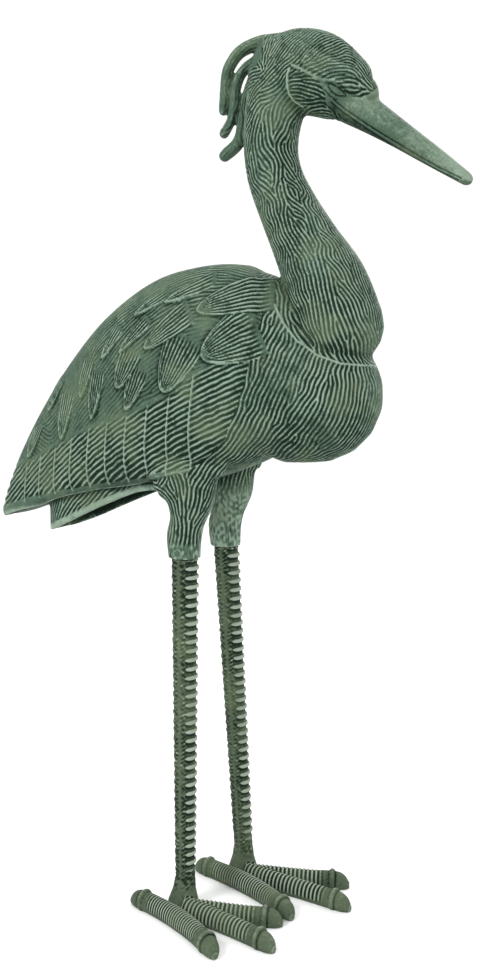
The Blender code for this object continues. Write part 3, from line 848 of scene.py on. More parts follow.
# %% [markdown]
# ## Strands that follow the strokes
#
# Elsewhere the strands must follow the strokes, keep an even pitch, and fork where the plumage
# spreads, as hand-cut strands do. We scatter nodes over the skin. Each node knows which way its
# strands run, and its phase says whether it sits on a ridge or in a groove. Passing the phases
# round the neighbours until they agree gives long strands with natural forks. A strand looks the
# same from both ends, so two neighbours may count their phases in opposite senses.

# %% Direction of the strands
STROKE_REACH = 0.005
BATCH = 2000


def flow_at(places, skin_normals, flow):
    """The line that the strands follow, blended from the nearest stroke points.

    A strand has no front and no rear end, so the squares of the directions are blended, and it
    does not matter which way a stroke was drawn.
    """
    stroke_places, stroke_ways = flow
    squares = (stroke_ways[:, :, None] * stroke_ways[:, None, :]).reshape(-1, 9)
    blend = np.empty((len(places), 9))
    for start in range(0, len(places), BATCH):
        part = places[start:start + BATCH]
        apart = ((part[:, None] - stroke_places[None]) ** 2).sum(axis=2)
        weight = 1 / (apart + STROKE_REACH**2) ** 2
        blend[start:start + BATCH] = weight @ squares / weight.sum(axis=1, keepdims=True)
    flatten = np.eye(3) - skin_normals[:, :, None] * skin_normals[:, None, :]
    return np.linalg.eigh(flatten @ blend.reshape(-1, 3, 3) @ flatten)[1][:, :, -1]


def same_sense(one, other):
    """1 where two sets of directions agree in sense, and -1 where they run against each other."""
    return np.where((one * other).sum(axis=-1) < 0, -1, 1)


# %% Neighbours, and a first phase for every node
def nearest_nodes(tree, places, count):
    """Index and distance of the nearest nodes of every place."""
    index = np.empty((len(places), count), int)
    apart = np.empty((len(places), count))
    for row, place in enumerate(places):
        found = tree.find_n(place, count)
        index[row] = [item[1] for item in found]
        apart[row] = [item[2] for item in found]
    return index, apart


def spread_phase(index, step, sense):
    """A first phase for every node, handed on from neighbour to neighbour."""
    phase = np.full(len(index), np.nan)
    for first in range(len(index)):
        if not np.isnan(phase[first]):
            continue
        phase[first] = 0.0
        queue = [first]
        for node in queue:
            for slot, other in enumerate(index[node]):
                if np.isnan(phase[other]):
                    phase[other] = (phase[node] - step[node, slot]) * sense[node, slot]
                    queue.append(other)
    return phase


# %% Phase of the strands
NODE_SPACING = 0.0037
NEIGHBOURS = 9
SWEEPS = 220
BEND_SIZE = 0.021
OWN_WEIGHT = 0.4
READ_NODES = 7
READ_SHARE = 0.8
LEAST_FACING = 0.02


def strand_phase(places, skin_normals, flow, pitch, wave, seed):
    """Phase of the strands at every place, and how sure it is there: 0 at a fork."""
    cells = np.floor(places / NODE_SPACING).astype(int)
    chosen = np.unique(cells, axis=0, return_index=True)[1]
    nodes, node_normals = places[chosen], skin_normals[chosen]
    ways = flow_at(nodes, node_normals, flow)
    bend = (waver(nodes, BEND_SIZE, seed=seed) * wave[chosen])[:, None]
    crossways = np.cross(node_normals, ways)
    crossways = crossways * np.cos(bend) - ways * np.sin(bend)
    waves = crossways * (2 * math.pi / pitch[chosen])[:, None]
    tree = KDTree(len(nodes))
    for number, node in enumerate(nodes):
        tree.insert(node, number)
    tree.balance()
    index, apart = nearest_nodes(tree, nodes, NEIGHBOURS)
    facing = (node_normals[index] * node_normals[:, None]).sum(axis=2)
    weight = np.exp(-(apart / NODE_SPACING) ** 2 / 2) * np.clip(facing, 0, 1)
    weight[:, 0] = OWN_WEIGHT
    sense = same_sense(waves[index], waves[:, None])
    shared = (waves[index] * sense[:, :, None] + waves[:, None]) / 2
    step = (shared * (nodes[:, None] - nodes[index])).sum(axis=2)
    phase = spread_phase(index, step, sense)
    for _ in range(SWEEPS):
        phase = np.angle((weight * np.exp(1j * (sense * phase[index] + step))).sum(axis=1))
    index, apart = nearest_nodes(tree, places, READ_NODES)
    facing = (node_normals[index] * skin_normals[:, None]).sum(axis=2)
    weight = np.exp(-(apart / NODE_SPACING / READ_SHARE) ** 2 / 2) * np.clip(facing, LEAST_FACING, 1)
    lead = phase[index] + (waves[index] * (places[:, None] - nodes[index])).sum(axis=2)
    lead *= same_sense(waves[index], waves[index[:, :1]])
    total = (weight * np.exp(1j * lead)).sum(axis=1)
    return np.angle(total), np.abs(total) / weight.sum(axis=1)


# %% Pitch and waver of the strands
BREAST_PITCH = 0.0045
BACK_PITCH = 0.0044
LOW_NECK_PITCH = 0.0047
MIDDLE_NECK_PITCH = 0.0040
HIGH_NECK_PITCH = 0.0042
HEAD_PITCH = 0.0034
NECK_PITCHES = ((0.62, LOW_NECK_PITCH), (0.70, MIDDLE_NECK_PITCH), (0.77, MIDDLE_NECK_PITCH),
                (0.80, HIGH_NECK_PITCH), (0.85, HIGH_NECK_PITCH), (0.87, HEAD_PITCH))
NECK_WAVES = ((0.66, 0.24), (0.76, 0.56), (0.85, 0.50), (0.87, 0.22))
OTHER_WAVE = 0.20

pitch = np.full_like(x, BREAST_PITCH)
pitch[in_neck] = np.interp(z, *np.transpose(NECK_PITCHES))[in_neck]
pitch[in_wing] = BACK_PITCH
wave = np.where(in_neck, np.interp(z, *np.transpose(NECK_WAVES)), OTHER_WAVE)
print("pitch of the strands", round(pitch.min() * 1000, 1), "to", round(pitch.max() * 1000, 1), "mm")

# %% Strands of the neck, breast and back
WOBBLE_SIZE = 0.014
LEAF_WOBBLE = 0.5
BARB_WOBBLE = 0.6

phase = np.zeros_like(x)
sure = np.ones_like(x)
fields = (
    ("neck and head", in_neck, upper_flow, 11),
    ("breast and thighs", ~in_neck & ~in_wing, lower_flow, 12),
    ("back", in_wing & ~in_leaf & ~in_band, back_flow, 13),
)
for name, chosen, flow, seed in fields:
    phase[chosen], sure[chosen] = strand_phase(points[chosen], normals[chosen], flow, pitch[chosen],
                                               wave[chosen], seed)
    print(name, int(chosen.sum()), "points")
wobble = waver(points, WOBBLE_SIZE, seed=14)
phase[in_leaf] = leaf_phase[in_leaf] + wobble[in_leaf] * LEAF_WOBBLE
phase[in_band] = barb_phase[in_band] + wobble[in_band] * BARB_WOBBLE

# %% [markdown]
# ## The face
#
# The face is carved by eye, so it is drawn where the photograph shows it. Every point of the head
# knows the pixel that it shows at, on the left side through its mirror image, and the lines of the
# face are short broken lines in those pixels.

# %% Lines of the face, in pixels
SMOOTH_FACE = ((318, 79), (335, 79), (343, 90), (352, 96), (363, 96), (372, 92), (380, 84), (480, 160),
               (480, 200), (400, 160), (345, 122), (340, 117), (331, 110), (325, 104), (324, 93))
CHEEK_RIM = ((289, 68), (287, 76), (287, 86), (289, 94), (294, 101), (303, 107))
BROW_BAND = ((292, 65), (302, 69), (312, 75), (324, 80), (334, 80))
BROW_LEAF_RIM = ((341, 86), (350, 94), (360, 96), (369, 93), (376, 87))
UPPER_LID = ((326, 83), (332, 84), (339, 88), (346, 95))
LOWER_LID = ((328, 86), (332, 92), (338, 96), (346, 96))
OUTER_LID = ((325, 90), (330, 96), (337, 100))
EYE_PLACE = (336, 90.5)
LIP_ABOVE = ((333, 99), (345, 109), (368, 125), (392, 140), (417, 155), (440, 168), (461, 178))
LIP_BELOW = ((331, 102), (343, 112.5), (366, 128.5), (390, 143.5), (415, 158), (438, 170.5), (458, 180))
COLLAR = ((240, 34), (268, 30), (262, 46), (262, 58), (256, 66), (240, 70))
METRES_PER_PIXEL = 0.00105


# %% Which points show on the face
HEAD_ABOVE = 0.74
HEAD_BEFORE = 0.115
CHEEK_ABOVE = 0.83
CHEEK_BEFORE = 0.085


def pixel_distance(line):
    """How far each point shows from a line of the face, in metres on the bird."""
    return line_distance(column, row, line) * METRES_PER_PIXEL


def inside(polygon):
    """Which points show inside a closed line of pixels."""
    found = np.zeros(len(column), bool)
    for (x0, y0), (x1, y1) in zip(polygon, polygon[1:] + polygon[:1]):
        crosses = (y0 > row) != (y1 > row)
        found ^= crosses & (column < x0 + (row - y0) * (x1 - x0) / np.where(y1 == y0, 1, y1 - y0))
    return found


def border_distance(polygon):
    """How far each point shows from the border of a closed line."""
    return pixel_distance(polygon + polygon[:1])


before_ears = (z > HEAD_ABOVE) & (x > HEAD_BEFORE)
on_head = before_ears & in_neck
on_cheek = (z > CHEEK_ABOVE) & (x > CHEEK_BEFORE) & in_neck
smooth_face = on_head & inside(SMOOTH_FACE)
print("smooth points of the face", int(smooth_face.sum()))

# %% [markdown]
# ## How deep the strands are cut
#
# The beak, the collar where the plumes leave the head, the plain band along the wing's edge, the
# insides of the thighs and the rim of the tail are smooth. The plumes have shallow streaks.

# %% Smooth places of the head and the plumes
SMOOTH_FADE = 0.0015
COLLAR_ABOVE = 0.80
PLUME_STRENGTH = 0.4
PLUMES_ABOVE = 0.795
PLUMES_BEHIND = 0.066
PLUMES_SLANT = 0.35
PLUMES_SLANT_FROM = 0.87
NAPE_BEFORE = 0.053
CROWN_ABOVE = 0.885
CROWN_SHIFT = 0.013

strength = np.ones_like(x)
strength *= np.where(smooth_face, 1 - between(border_distance(SMOOTH_FACE), 0, SMOOTH_FADE), 1)
on_collar = inside(COLLAR) & (z > COLLAR_ABOVE)
strength *= np.where(on_collar, 1 - between(border_distance(COLLAR), 0, SMOOTH_FADE), 1)
slanted = PLUMES_BEHIND - PLUMES_SLANT * np.clip(PLUMES_SLANT_FROM - z, 0, 1)
on_plume = (z > PLUMES_ABOVE) & (x < slanted) & ~in_wing
on_plume &= x < NAPE_BEFORE + (z > CROWN_ABOVE) * CROWN_SHIFT
strength[on_plume] = PLUME_STRENGTH
print("points on the plumes", int(on_plume.sum()))

# %% Smooth places of the breast, thighs and tail
BREAST_FRONT = (0.75, 0.98)
BREAST_BEFORE_CUT = 0.6
BREAST_ABOVE = 0.5
THIGH_X = (-0.05, 0.08)
THIGH_TOP_FADE = (-0.475, -0.445)
THIGH_INSIDE = (-0.10, 0.30)
THIGH_BELOW = 0.44
THIGH_END_Z = (0.400, 0.410)
TAIL_BEHIND = -0.03
TAIL_RIM_HEIGHT = (0.0065, 0.0095)
TAIL_FLANK = (0.25, 0.5)

front_face = between(normals[:, 0], *BREAST_FRONT) * ~in_neck * (z > BREAST_ABOVE)
strength *= 1 - BREAST_BEFORE_CUT * front_face
outward = np.where(y < 0, -normals[:, 1], normals[:, 1])
inner_face = 1 - between(outward, *THIGH_INSIDE)
under_trunk = (x > THIGH_X[0]) & (x < THIGH_X[1])
strength *= 1 - between(-z, *THIGH_TOP_FADE) * under_trunk * inner_face
strength *= np.where((z < THIGH_BELOW) & (x > THIGH_X[0]), between(z, *THIGH_END_Z), 1.0)
tail_rim = np.interp(x, [station[0] for station in TAIL], [station[2] for station in TAIL])
in_tail = (x < TAIL_BEHIND) & (above_edge < 0)
tail_face = between(z - tail_rim, *TAIL_RIM_HEIGHT) * between(np.abs(normals[:, 1]), *TAIL_FLANK)
strength *= np.where(in_tail, tail_face, 1.0)

# %% Strength of the strands on the wing
BACK_STRENGTH = 0.64
COVERT_STRENGTH = 0.42
COVERT_TOP = (0.13, 0.17)
SHAFT_TOP_FADE = 0.012
SHAFT_END_FADE = 0.003
BARB_TOP_FADE = 0.010
BARB_END_FADE = 0.002
RIM_CLEARS = 1.6

shaft = shaft * between(below_top, 0, SHAFT_TOP_FADE) * between(above_band, -SHAFT_END_FADE, 0)
barb_zone = between(above_band, 0, BARB_END_FADE) * between(below_top, 0, BARB_TOP_FADE)
strength *= np.where(in_band, barb_zone * (1 - shaft) * flank, 1.0)
on_ground = in_wing & ~in_band & ~in_leaf
ground = COVERT_STRENGTH + (BACK_STRENGTH - COVERT_STRENGTH) * between(above_edge, *COVERT_TOP)
strength *= np.where(on_ground, ground, 1.0)
strength[in_leaf] *= (leaf_clear * (1 - np.clip(leaf_rim * RIM_CLEARS, 0, 1)))[in_leaf]

# %% Worn patches, and lines that stop the strands
PATCH_SIZE = 0.070
PATCH_LEAST = 0.45
PATCH_SPREAD = (-1.6, 0.5)
CREASE_STOP = (0.0006, 0.0018)
CHEEK_STOP = (0.0008, 0.0018)
BROW_STOP = (0.0012, 0.0024)

patch = PATCH_LEAST + (1 - PATCH_LEAST) * between(waver(points, PATCH_SIZE, seed=31), *PATCH_SPREAD)
strength *= np.where(in_band | in_leaf, (1 + patch) / 2, patch)
crease_line = line_distance(x, z, CREASE[2:])
strength *= between(crease_line, *CREASE_STOP)
strength *= np.where(on_cheek, between(pixel_distance(CHEEK_RIM), *CHEEK_STOP), 1)
strength *= np.where(on_head, between(pixel_distance(BROW_BAND), *BROW_STOP), 1)
print("mean strength", round(float(strength.mean()), 2))

# %% [markdown]
# ## Cutting the carving into the skin
#
# Heights add up: wing over breast, leaves over wing, quills, brow, eye and mouth. The strands go
# below the surface, so the ridges keep the outline. Each point moves along its normal.

# %% Heights of wing, leaves and quills
WING_FRONT_FADE = 0.014
WING_THICKNESS = 0.0045
WING_FRONT_SOFTNESS = 0.010
WING_FRONT_X = (-0.060, 0.010)
EDGE_LINE_HEIGHT = 0.0024
EDGE_LINE_WIDTH = 0.0018
EDGE_LINE_RISE = 0.0005
CREASE_RISE = 0.0005
CREASE_WIDTH = 0.0014

edge_softness = EDGE_SOFTNESS + WING_FRONT_SOFTNESS * between(x, *WING_FRONT_X)
wing = between(above_edge, 0, edge_softness) * between(behind_front, 0, WING_FRONT_FADE)
wing *= z < WING_TOP_LIMIT
edge_line = ridge(above_edge - EDGE_LINE_HEIGHT, EDGE_LINE_WIDTH) * in_wing * flank
raised = wing * WING_THICKNESS + leaf_height + leaf_rim * LEAF_RIM_RISE
raised += shaft * SHAFT_RISE * flank * in_band + edge_line * EDGE_LINE_RISE
raised += ridge(crease_line, CREASE_WIDTH) * CREASE_RISE * flank

# %% Heights of brow, cheek and eye
BROW = ((0.136, 0.886), (0.176, 0.864))
BROW_RISE = 0.0024
BROW_WIDTH = 0.012
BROW_BAND_RISE = 0.0009
BROW_BAND_WIDTH = 0.0030
BROW_LEAF_DEPTH = 0.0010
BROW_LEAF_WIDTH = 0.0018
CHEEK_RIM_RISE = 0.0008
CHEEK_RIM_WIDTH = 0.0015
EYE_RADIUS = 0.0062
EYE_RISE = 0.0012
EYE_TILT = 0.7
EYE_STRETCH = 1.5
EYE_FADE = (0.25, 0.75)

brow = 1 - between(line_distance(x, z, BROW), BROW_WIDTH / 2, BROW_WIDTH)
cheek_rim = np.where(on_cheek, ridge(pixel_distance(CHEEK_RIM), CHEEK_RIM_WIDTH), 0)
face = ridge(pixel_distance(BROW_BAND), BROW_BAND_WIDTH) * BROW_BAND_RISE
face -= ridge(pixel_distance(BROW_LEAF_RIM), BROW_LEAF_WIDTH) * BROW_LEAF_DEPTH
eye_across = (column - EYE_PLACE[0]) * METRES_PER_PIXEL
eye_up = (EYE_PLACE[1] - row) * METRES_PER_PIXEL
eye_along = eye_across * math.cos(EYE_TILT) - eye_up * math.sin(EYE_TILT)
eye_out = np.hypot(eye_along / EYE_STRETCH, eye_across * math.sin(EYE_TILT) + eye_up * math.cos(EYE_TILT))
eye_spot = (1 - between(eye_out / EYE_RADIUS, *EYE_FADE)) * on_head * flank
face += eye_spot * EYE_RISE

# %% Lines of the lids and the mouth
LINE_WIDTH = 0.0011
LINE_DEPTH = 0.0010
OUTER_LID_SHARE = 0.7
BEAK_BEFORE = 0.150
MIDLINE_WIDTH = 0.0016
MIDLINE_DEPTH = 0.0007
MIDLINE_BEFORE = 0.118
MIDLINE_ABOVE = 0.84
MIDLINE_FACING = 0.1


def drawn(line):
    """1 on a fine line of the face and 0 beside it."""
    return ridge(pixel_distance(line), LINE_WIDTH)


lids = np.maximum(drawn(UPPER_LID), drawn(LOWER_LID))
lids = np.maximum(lids, drawn(OUTER_LID) * OUTER_LID_SHARE)
lips = np.maximum(drawn(LIP_ABOVE), drawn(LIP_BELOW))
lines = np.maximum(lids, lips) * (on_head | (x > BEAK_BEFORE)) * (z > HEAD_ABOVE)
face -= lines * LINE_DEPTH
raised += np.where(before_ears, face * flank, 0) + brow * BROW_RISE * flank
raised += cheek_rim * CHEEK_RIM_RISE * flank
midline = ridge(y, MIDLINE_WIDTH) * (x > MIDLINE_BEFORE) * (z > MIDLINE_ABOVE)
midline *= normals[:, 2] > MIDLINE_FACING
raised -= midline * MIDLINE_DEPTH

# %% Grain of the plain thighs
THIGH_GRAIN_RISE = 0.00026
LOW_THIGH_FADE = (-0.470, -0.440)
GRAIN_STRETCH = (1, 1, 0.5)
GRAIN_SIZE = 0.0036
GRAIN_SHARE = 0.6
BLOTCH_SIZE = 0.0080

low_thigh = between(-z, *LOW_THIGH_FADE) * under_trunk
speckle = waver(points * GRAIN_STRETCH, GRAIN_SIZE, seed=34) * GRAIN_SHARE
speckle += waver(points, BLOTCH_SIZE, seed=35) * (1 - GRAIN_SHARE)
raised += THIGH_GRAIN_RISE * speckle * low_thigh * (1 - strength)

# %% Cut the strands
STRAND_DEPTH = 0.00115
BARB_DEPTH = 0.0013
RIDGE_POWER = 1.2
SURE_GAIN = 1.3
LEAST_SURE = 0.3

ridge_share = (0.5 + 0.5 * np.cos(phase)) ** RIDGE_POWER
depth = np.where(in_band, BARB_DEPTH, STRAND_DEPTH)
cut_depth = (1 - ridge_share) * strength * np.clip(sure * SURE_GAIN, LEAST_SURE, 1) * depth
move_points(body, points + normals * (raised - cut_depth)[:, None])
print("deepest cut", round(float(cut_depth.max()) * 1000, 2), "mm")

# %% [markdown]
# ## Remembering where it is worn, and where shade is painted
#
# Verdigris is rubbed light on the ridges, stays dark in the cuts, and is in between where the skin
# is plain. The mesh keeps two numbers per point for the finish: how worn the place is, from 0 in a
# cut to 1 on a ridge, with painted shade and painted light mixed in, and how hollow it is against
# its surroundings.

# %% How worn the plain places are, with painted shadow beside the leaves' tips
PLAIN_WEAR = 0.56
BAND_WEAR = 0.46
PLUME_WEAR = 0.36
COLLAR_WEAR = 0.38
RIM_WEAR = 0.20
SHAFT_WEAR = 0.26
LEAF_PAINTED_SHADOW = -0.30
EDGE_LINE_WEAR = 0.22
CREASE_WEAR = 0.2
TAIL_RIM_WEAR = 0.20
TAIL_RIM_FADE = (0.006, 0.009)
CHEEK_RIM_WEAR = 0.30

plain = np.full_like(x, PLAIN_WEAR)
plain[on_plume] = PLUME_WEAR
plain[on_collar] = COLLAR_WEAR
plain[in_wing] = BAND_WEAR
plain[in_leaf] = LEAF_TIP_WEAR
plain += RIM_WEAR * np.clip(leaf_rim, 0, 1) + SHAFT_WEAR * shaft * in_band
# Painted shadow: the skin just outside a leaf near its tip is darker.
plain += LEAF_PAINTED_SHADOW * leaf_shadow * ~in_leaf
plain += EDGE_LINE_WEAR * edge_line + CREASE_WEAR * ridge(crease_line, CREASE_WIDTH)
plain += TAIL_RIM_WEAR * in_tail * (1 - between(z - tail_rim, *TAIL_RIM_FADE))
plain += CHEEK_RIM_WEAR * cheek_rim
print("mean wear of plain places", round(float(plain.mean()), 2))

# %% Tones of the beak with painted shade below its lips, the painted shadow under the wing, and the thighs
LOWER_BEAK_PAINTED_SHADE = -0.26
LOWER_BEAK_FADE = 0.0015
BEAK_BELOW_ROW = 96
BEAK_TIP_WEAR = 0.12
BEAK_TIP_X = (0.225, 0.280)
LINE_WEAR = -0.45
MIDLINE_WEAR = -0.2
EYE_WEAR = -0.20
WING_PAINTED_SHADOW = -0.25
WING_SHADOW_START = 0.0004
WING_SHADOW_END = (0.0012, 0.0030)
WING_SHADOW_BEHIND = 0.03
LEAST_SPECKLE = 0.12
THIGH_SPECKLE = 0.42
THIGH_LIFT = 0.10

# Painted shade: the lower mandible, below the lips, is darker. The beak's tip is lighter from wear.
below_lips = (row - np.interp(column, *np.transpose(LIP_BELOW))) * METRES_PER_PIXEL
on_beak = (z > HEAD_ABOVE) & (x > BEAK_BEFORE) & (row > BEAK_BELOW_ROW)
beak_shade_and_wear = LOWER_BEAK_PAINTED_SHADE * between(below_lips, 0, LOWER_BEAK_FADE)
beak_shade_and_wear += BEAK_TIP_WEAR * between(x, *BEAK_TIP_X)
plain += np.where(on_beak, beak_shade_and_wear, 0)
plain += lines * LINE_WEAR + midline * MIDLINE_WEAR + eye_spot * EYE_WEAR
# Painted shadow: the body just below the wing's lower edge is darker.
below_edge = -above_edge
shadow = between(below_edge, 0.0, WING_SHADOW_START) * (1 - between(below_edge, *WING_SHADOW_END))
plain += WING_PAINTED_SHADOW * shadow * (x < WING_SHADOW_BEHIND)
plain += speckle * (LEAST_SPECKLE + (THIGH_SPECKLE - LEAST_SPECKLE) * low_thigh)
plain += THIGH_LIFT * low_thigh * inner_face

# %% How worn the ridges are, with painted light on top, painted shade underneath and in the tail's hollow
RIDGE_SHARPNESS = 2.0
SHARPNESS_CHANGE = 0.45
SHARPNESS_SIZE = 0.040
RUB_CHANGE = 0.50
RUB_SIZE = 0.011
RUB_SPREAD = (-0.2, 1.6)
GROUND_WEAR = 0.85
PAINTED_LIGHT_ON_TOP = 0.11
PAINTED_SHADE_UNDERNEATH = 0.20
HOLLOW_X = (-0.197, -0.03)
HOLLOW_WALL_SHARE = 0.75
HOLLOW_HEIGHT_SHARE = 1.1
HOLLOW_LIP = 0.001
FACING_DOWN = -0.5

sharpness = RIDGE_SHARPNESS * 2 ** (SHARPNESS_CHANGE * waver(points, SHARPNESS_SIZE, seed=32))
rubbed = 1 - RUB_CHANGE * between(waver(points, RUB_SIZE, seed=33), *RUB_SPREAD)
crest = (0.5 + 0.5 * np.cos(phase)) ** sharpness * rubbed
wear_and_shade = plain * (1 - strength) + strength * crest * np.where(on_ground, GROUND_WEAR, 1.0)
# Painted light and shade: skin that faces up is made lighter, and skin that faces down darker.
wear_and_shade += PAINTED_LIGHT_ON_TOP * np.maximum(normals[:, 2], 0) + PAINTED_SHADE_UNDERNEATH * np.minimum(normals[:, 2], 0)
# Painted shade: inside the tail's hollow the tone is set to that of a cut.
tail_half = np.interp(x, [station[0] for station in TAIL], [station[3] for station in TAIL])
in_hollow = (x > HOLLOW_X[0]) & (x < HOLLOW_X[1]) & (np.abs(y) < tail_half - TAIL_WALL * HOLLOW_WALL_SHARE)
in_hollow &= z < tail_rim + TAIL_HOLLOW_HEIGHT * HOLLOW_HEIGHT_SHARE
in_hollow &= (z > tail_rim + HOLLOW_LIP) | (normals[:, 2] < FACING_DOWN)
wear_and_shade[in_hollow] = 0.0
print("mean wear", round(float(wear_and_shade.mean()), 2))

# %% Write the numbers on the points
BODY_HOLLOW_ROUNDS = 14
BODY_HOLLOW_SCALE = 0.0008


def hollowness(obj, rounds, scale):
    """How far each point lies below the average of its surroundings, as a share of scale."""
    mesh = obj.data
    edges = np.empty(len(mesh.edges) * 2, int)
    mesh.edges.foreach_get("vertices", edges)
    one, two = edges.reshape(-1, 2).T
    count = np.bincount(one, minlength=len(mesh.vertices)) + np.bincount(two, minlength=len(mesh.vertices))
    start = points_of(obj)
    place = start.copy()
    for _ in range(rounds):
        total = np.empty_like(place)
        for k in range(3):
            total[:, k] = np.bincount(one, place[two, k], len(start))
            total[:, k] += np.bincount(two, place[one, k], len(start))
        place = (place + total / count[:, None]) / 2
    return np.clip(((place - start) * normals_of(obj)).sum(axis=1) / scale, -1, 1)


def note(obj, name, values):
    """Store one number per point under a name that the finish can read."""
    layer = obj.data.attributes.new(name, "FLOAT", "POINT")
    layer.data.foreach_set("value", np.asarray(values, np.float32))


note(body, "wear_and_shade", wear_and_shade)
note(body, "hollow", hollowness(body, BODY_HOLLOW_ROUNDS, BODY_HOLLOW_SCALE))

# %% Thin the mesh
BODY_TRIANGLES = 196000


def thin(obj, triangles):
    """Drop points where the surface is flat, down to a number of triangles."""
    now = sum(len(face.vertices) - 2 for face in obj.data.polygons)
    if now > triangles:
        fewer = obj.modifiers.new("fewer", "DECIMATE")
        fewer.ratio = triangles / now
        bake(obj)
    obj.data.shade_smooth()
    print(obj.name, "triangles", sum(len(face.vertices) - 2 for face in obj.data.polygons))


thin(body, BODY_TRIANGLES)

# %% [markdown]
# ## Legs and feet
#
# Each leg is a slim tube with thirty-four scutes: broad raised bars in front, which taper at their
# ends, and small ridges behind. The sides are plain. The toes are rolls of rings that end in a cuff
# and a smooth nail. The hind toe and one front toe are a single roll that passes before the ankle.

# %% Sizes of the shank
SCUTE_COUNT = 34
SCUTE_RISE = 0.0020
BACK_RIDGE_SHARE = 0.45
GAP_SHARE = 0.30
BAR_HALF_ANGLE = math.radians(60)
BAR_END_TAPER = 0.70
BAR_PROFILE = (-0.15, 0.65)
BAR_SHADOW = (0.05, 0.80)
RIDGES_BEHIND = (0.50, 0.80)
FRONT_FADE = (-0.10, 0.10)
BAR_END_FADE = (-0.05, 0.30)
FIRST_BAR_START = 0.7
LAST_BAR_END = (0.35, 0.1)
SHANK_SIDES = 120
SHANK_STEP = 0.0006
ANKLE_RADIUS = 0.0108
ANKLE_Z = 0.034
FOOT_SPREAD_RADIUS = 0.0165
FOOT_SPREAD_Z = 0.012
FOOT_WAIST = 0.001
FOOT_LEAN = (0.004, -0.0145)
TOUCHING_GAP = 0.0003
SHANK_TOP = LEG_JOINT_Z - TOUCHING_GAP
SCUTE_PITCH = (SHANK_TOP - LEG_LOW_Z) / (SCUTE_COUNT + 0.5)


def shank_radius(level):
    """The plain radius up the leg, from the spread foot to the joint."""
    levels = (0.0, FOOT_SPREAD_Z, (FOOT_SPREAD_Z + ANKLE_Z) / 2, ANKLE_Z, LEG_LOW_Z, LEG_JOINT_Z)
    radii = (FOOT_SPREAD_RADIUS, FOOT_SPREAD_RADIUS, (FOOT_SPREAD_RADIUS + ANKLE_RADIUS) / 2 - FOOT_WAIST,
             ANKLE_RADIUS, LEG_LOW_RADIUS - SCUTE_RISE / 2, LEG_TOP_RADIUS - SCUTE_RISE / 2)
    return np.interp(level, levels, radii)


# %% Bars and ridges of the shank
def scutes(level, facing):
    """Bars in front, ridges behind, how much a place is front, and the painted shadow under each bar."""
    turn = (level - LEG_LOW_Z) / SCUTE_PITCH * 2 * math.pi + math.pi
    fade_from, fade_to = (SHANK_TOP - SCUTE_PITCH * share for share in LAST_BAR_END)
    on_shank = between(level, LEG_LOW_Z - SCUTE_PITCH * FIRST_BAR_START, LEG_LOW_Z)
    on_shank = on_shank * (1 - between(level, fade_from, fade_to))
    edge = math.cos(BAR_HALF_ANGLE)
    front = between(facing, *(edge + step for step in FRONT_FADE)) * on_shank
    narrower = BAR_END_TAPER * (1 - between(facing, *(edge + step for step in BAR_END_FADE)))
    bar = between(np.cos(turn) - narrower, *BAR_PROFILE) * front
    behind = between(np.cos(turn), *BAR_PROFILE) * between(-facing, *RIDGES_BEHIND) * on_shank
    under = between(-np.sin(turn), *BAR_SHADOW) * front
    return bar, behind, front, under


# %% The shank's form
def leg_centre(leg, level):
    """The leg's centre at a height, with the lean of the foot below the ankle."""
    lean = min(1.0, max(0.0, 1 - level / ANKLE_Z))
    return leg_point(leg, level) + Vector((*FOOT_LEAN, 0)) * lean


def shank(name, leg):
    """The leg from the ground to the joint, with a bar in front of every scute."""
    angle = np.linspace(-math.pi, math.pi, SHANK_SIDES, endpoint=False)
    rings = []
    for level in np.arange(0.0, SHANK_TOP, SHANK_STEP):
        bar, back, front, under = scutes(level, np.cos(angle))
        rise = SCUTE_RISE * (bar + BACK_RIDGE_SHARE * back - GAP_SHARE * front)
        radius = shank_radius(level) + rise
        centre = leg_centre(leg, level)
        rings.append(np.stack([centre.x + radius * np.cos(angle), centre.y + radius * np.sin(angle),
                               np.full(SHANK_SIDES, level)], axis=1))
    return loft(name, rings)


# %% Sizes of the toes
TOE_HALF_WIDTH = 0.0104
TOE_HALF_HEIGHT = 0.0116
TOE_LEVEL = 0.0088
TOE_TIP_SHARE = 0.90
TOE_SIDES = 48
TOE_STEP = 0.0005
NAIL_LENGTH = 0.023
NAIL_POINT_SHARE = 0.36
NAIL_POINT_POWER = 2.2
TIP_SINK = 0.6
CUFF_RISE = 0.0017
CUFF_LENGTH = 0.007
CUFF_POWER = 0.7


# %% The toes
def toe_size(along, length, both_ends):
    """The share of full thickness at a place along a toe."""
    share = along / length
    nail = along - (length - NAIL_LENGTH)
    if both_ends and along < NAIL_LENGTH:
        nail = NAIL_LENGTH - along
    if nail <= 0:
        return 1 - (1 - TOE_TIP_SHARE) * (abs(share * 2 - 1) if both_ends else share)
    bulge = max(0.0, math.sin(math.pi * min(1, nail / CUFF_LENGTH))) ** CUFF_POWER
    cuff = bulge * CUFF_RISE / TOE_HALF_WIDTH
    point = max(0.0, (nail - CUFF_LENGTH) / (NAIL_LENGTH - CUFF_LENGTH))
    return TOE_TIP_SHARE * math.sqrt(max(NAIL_POINT_SHARE**2, 1 - point**NAIL_POINT_POWER)) + cuff


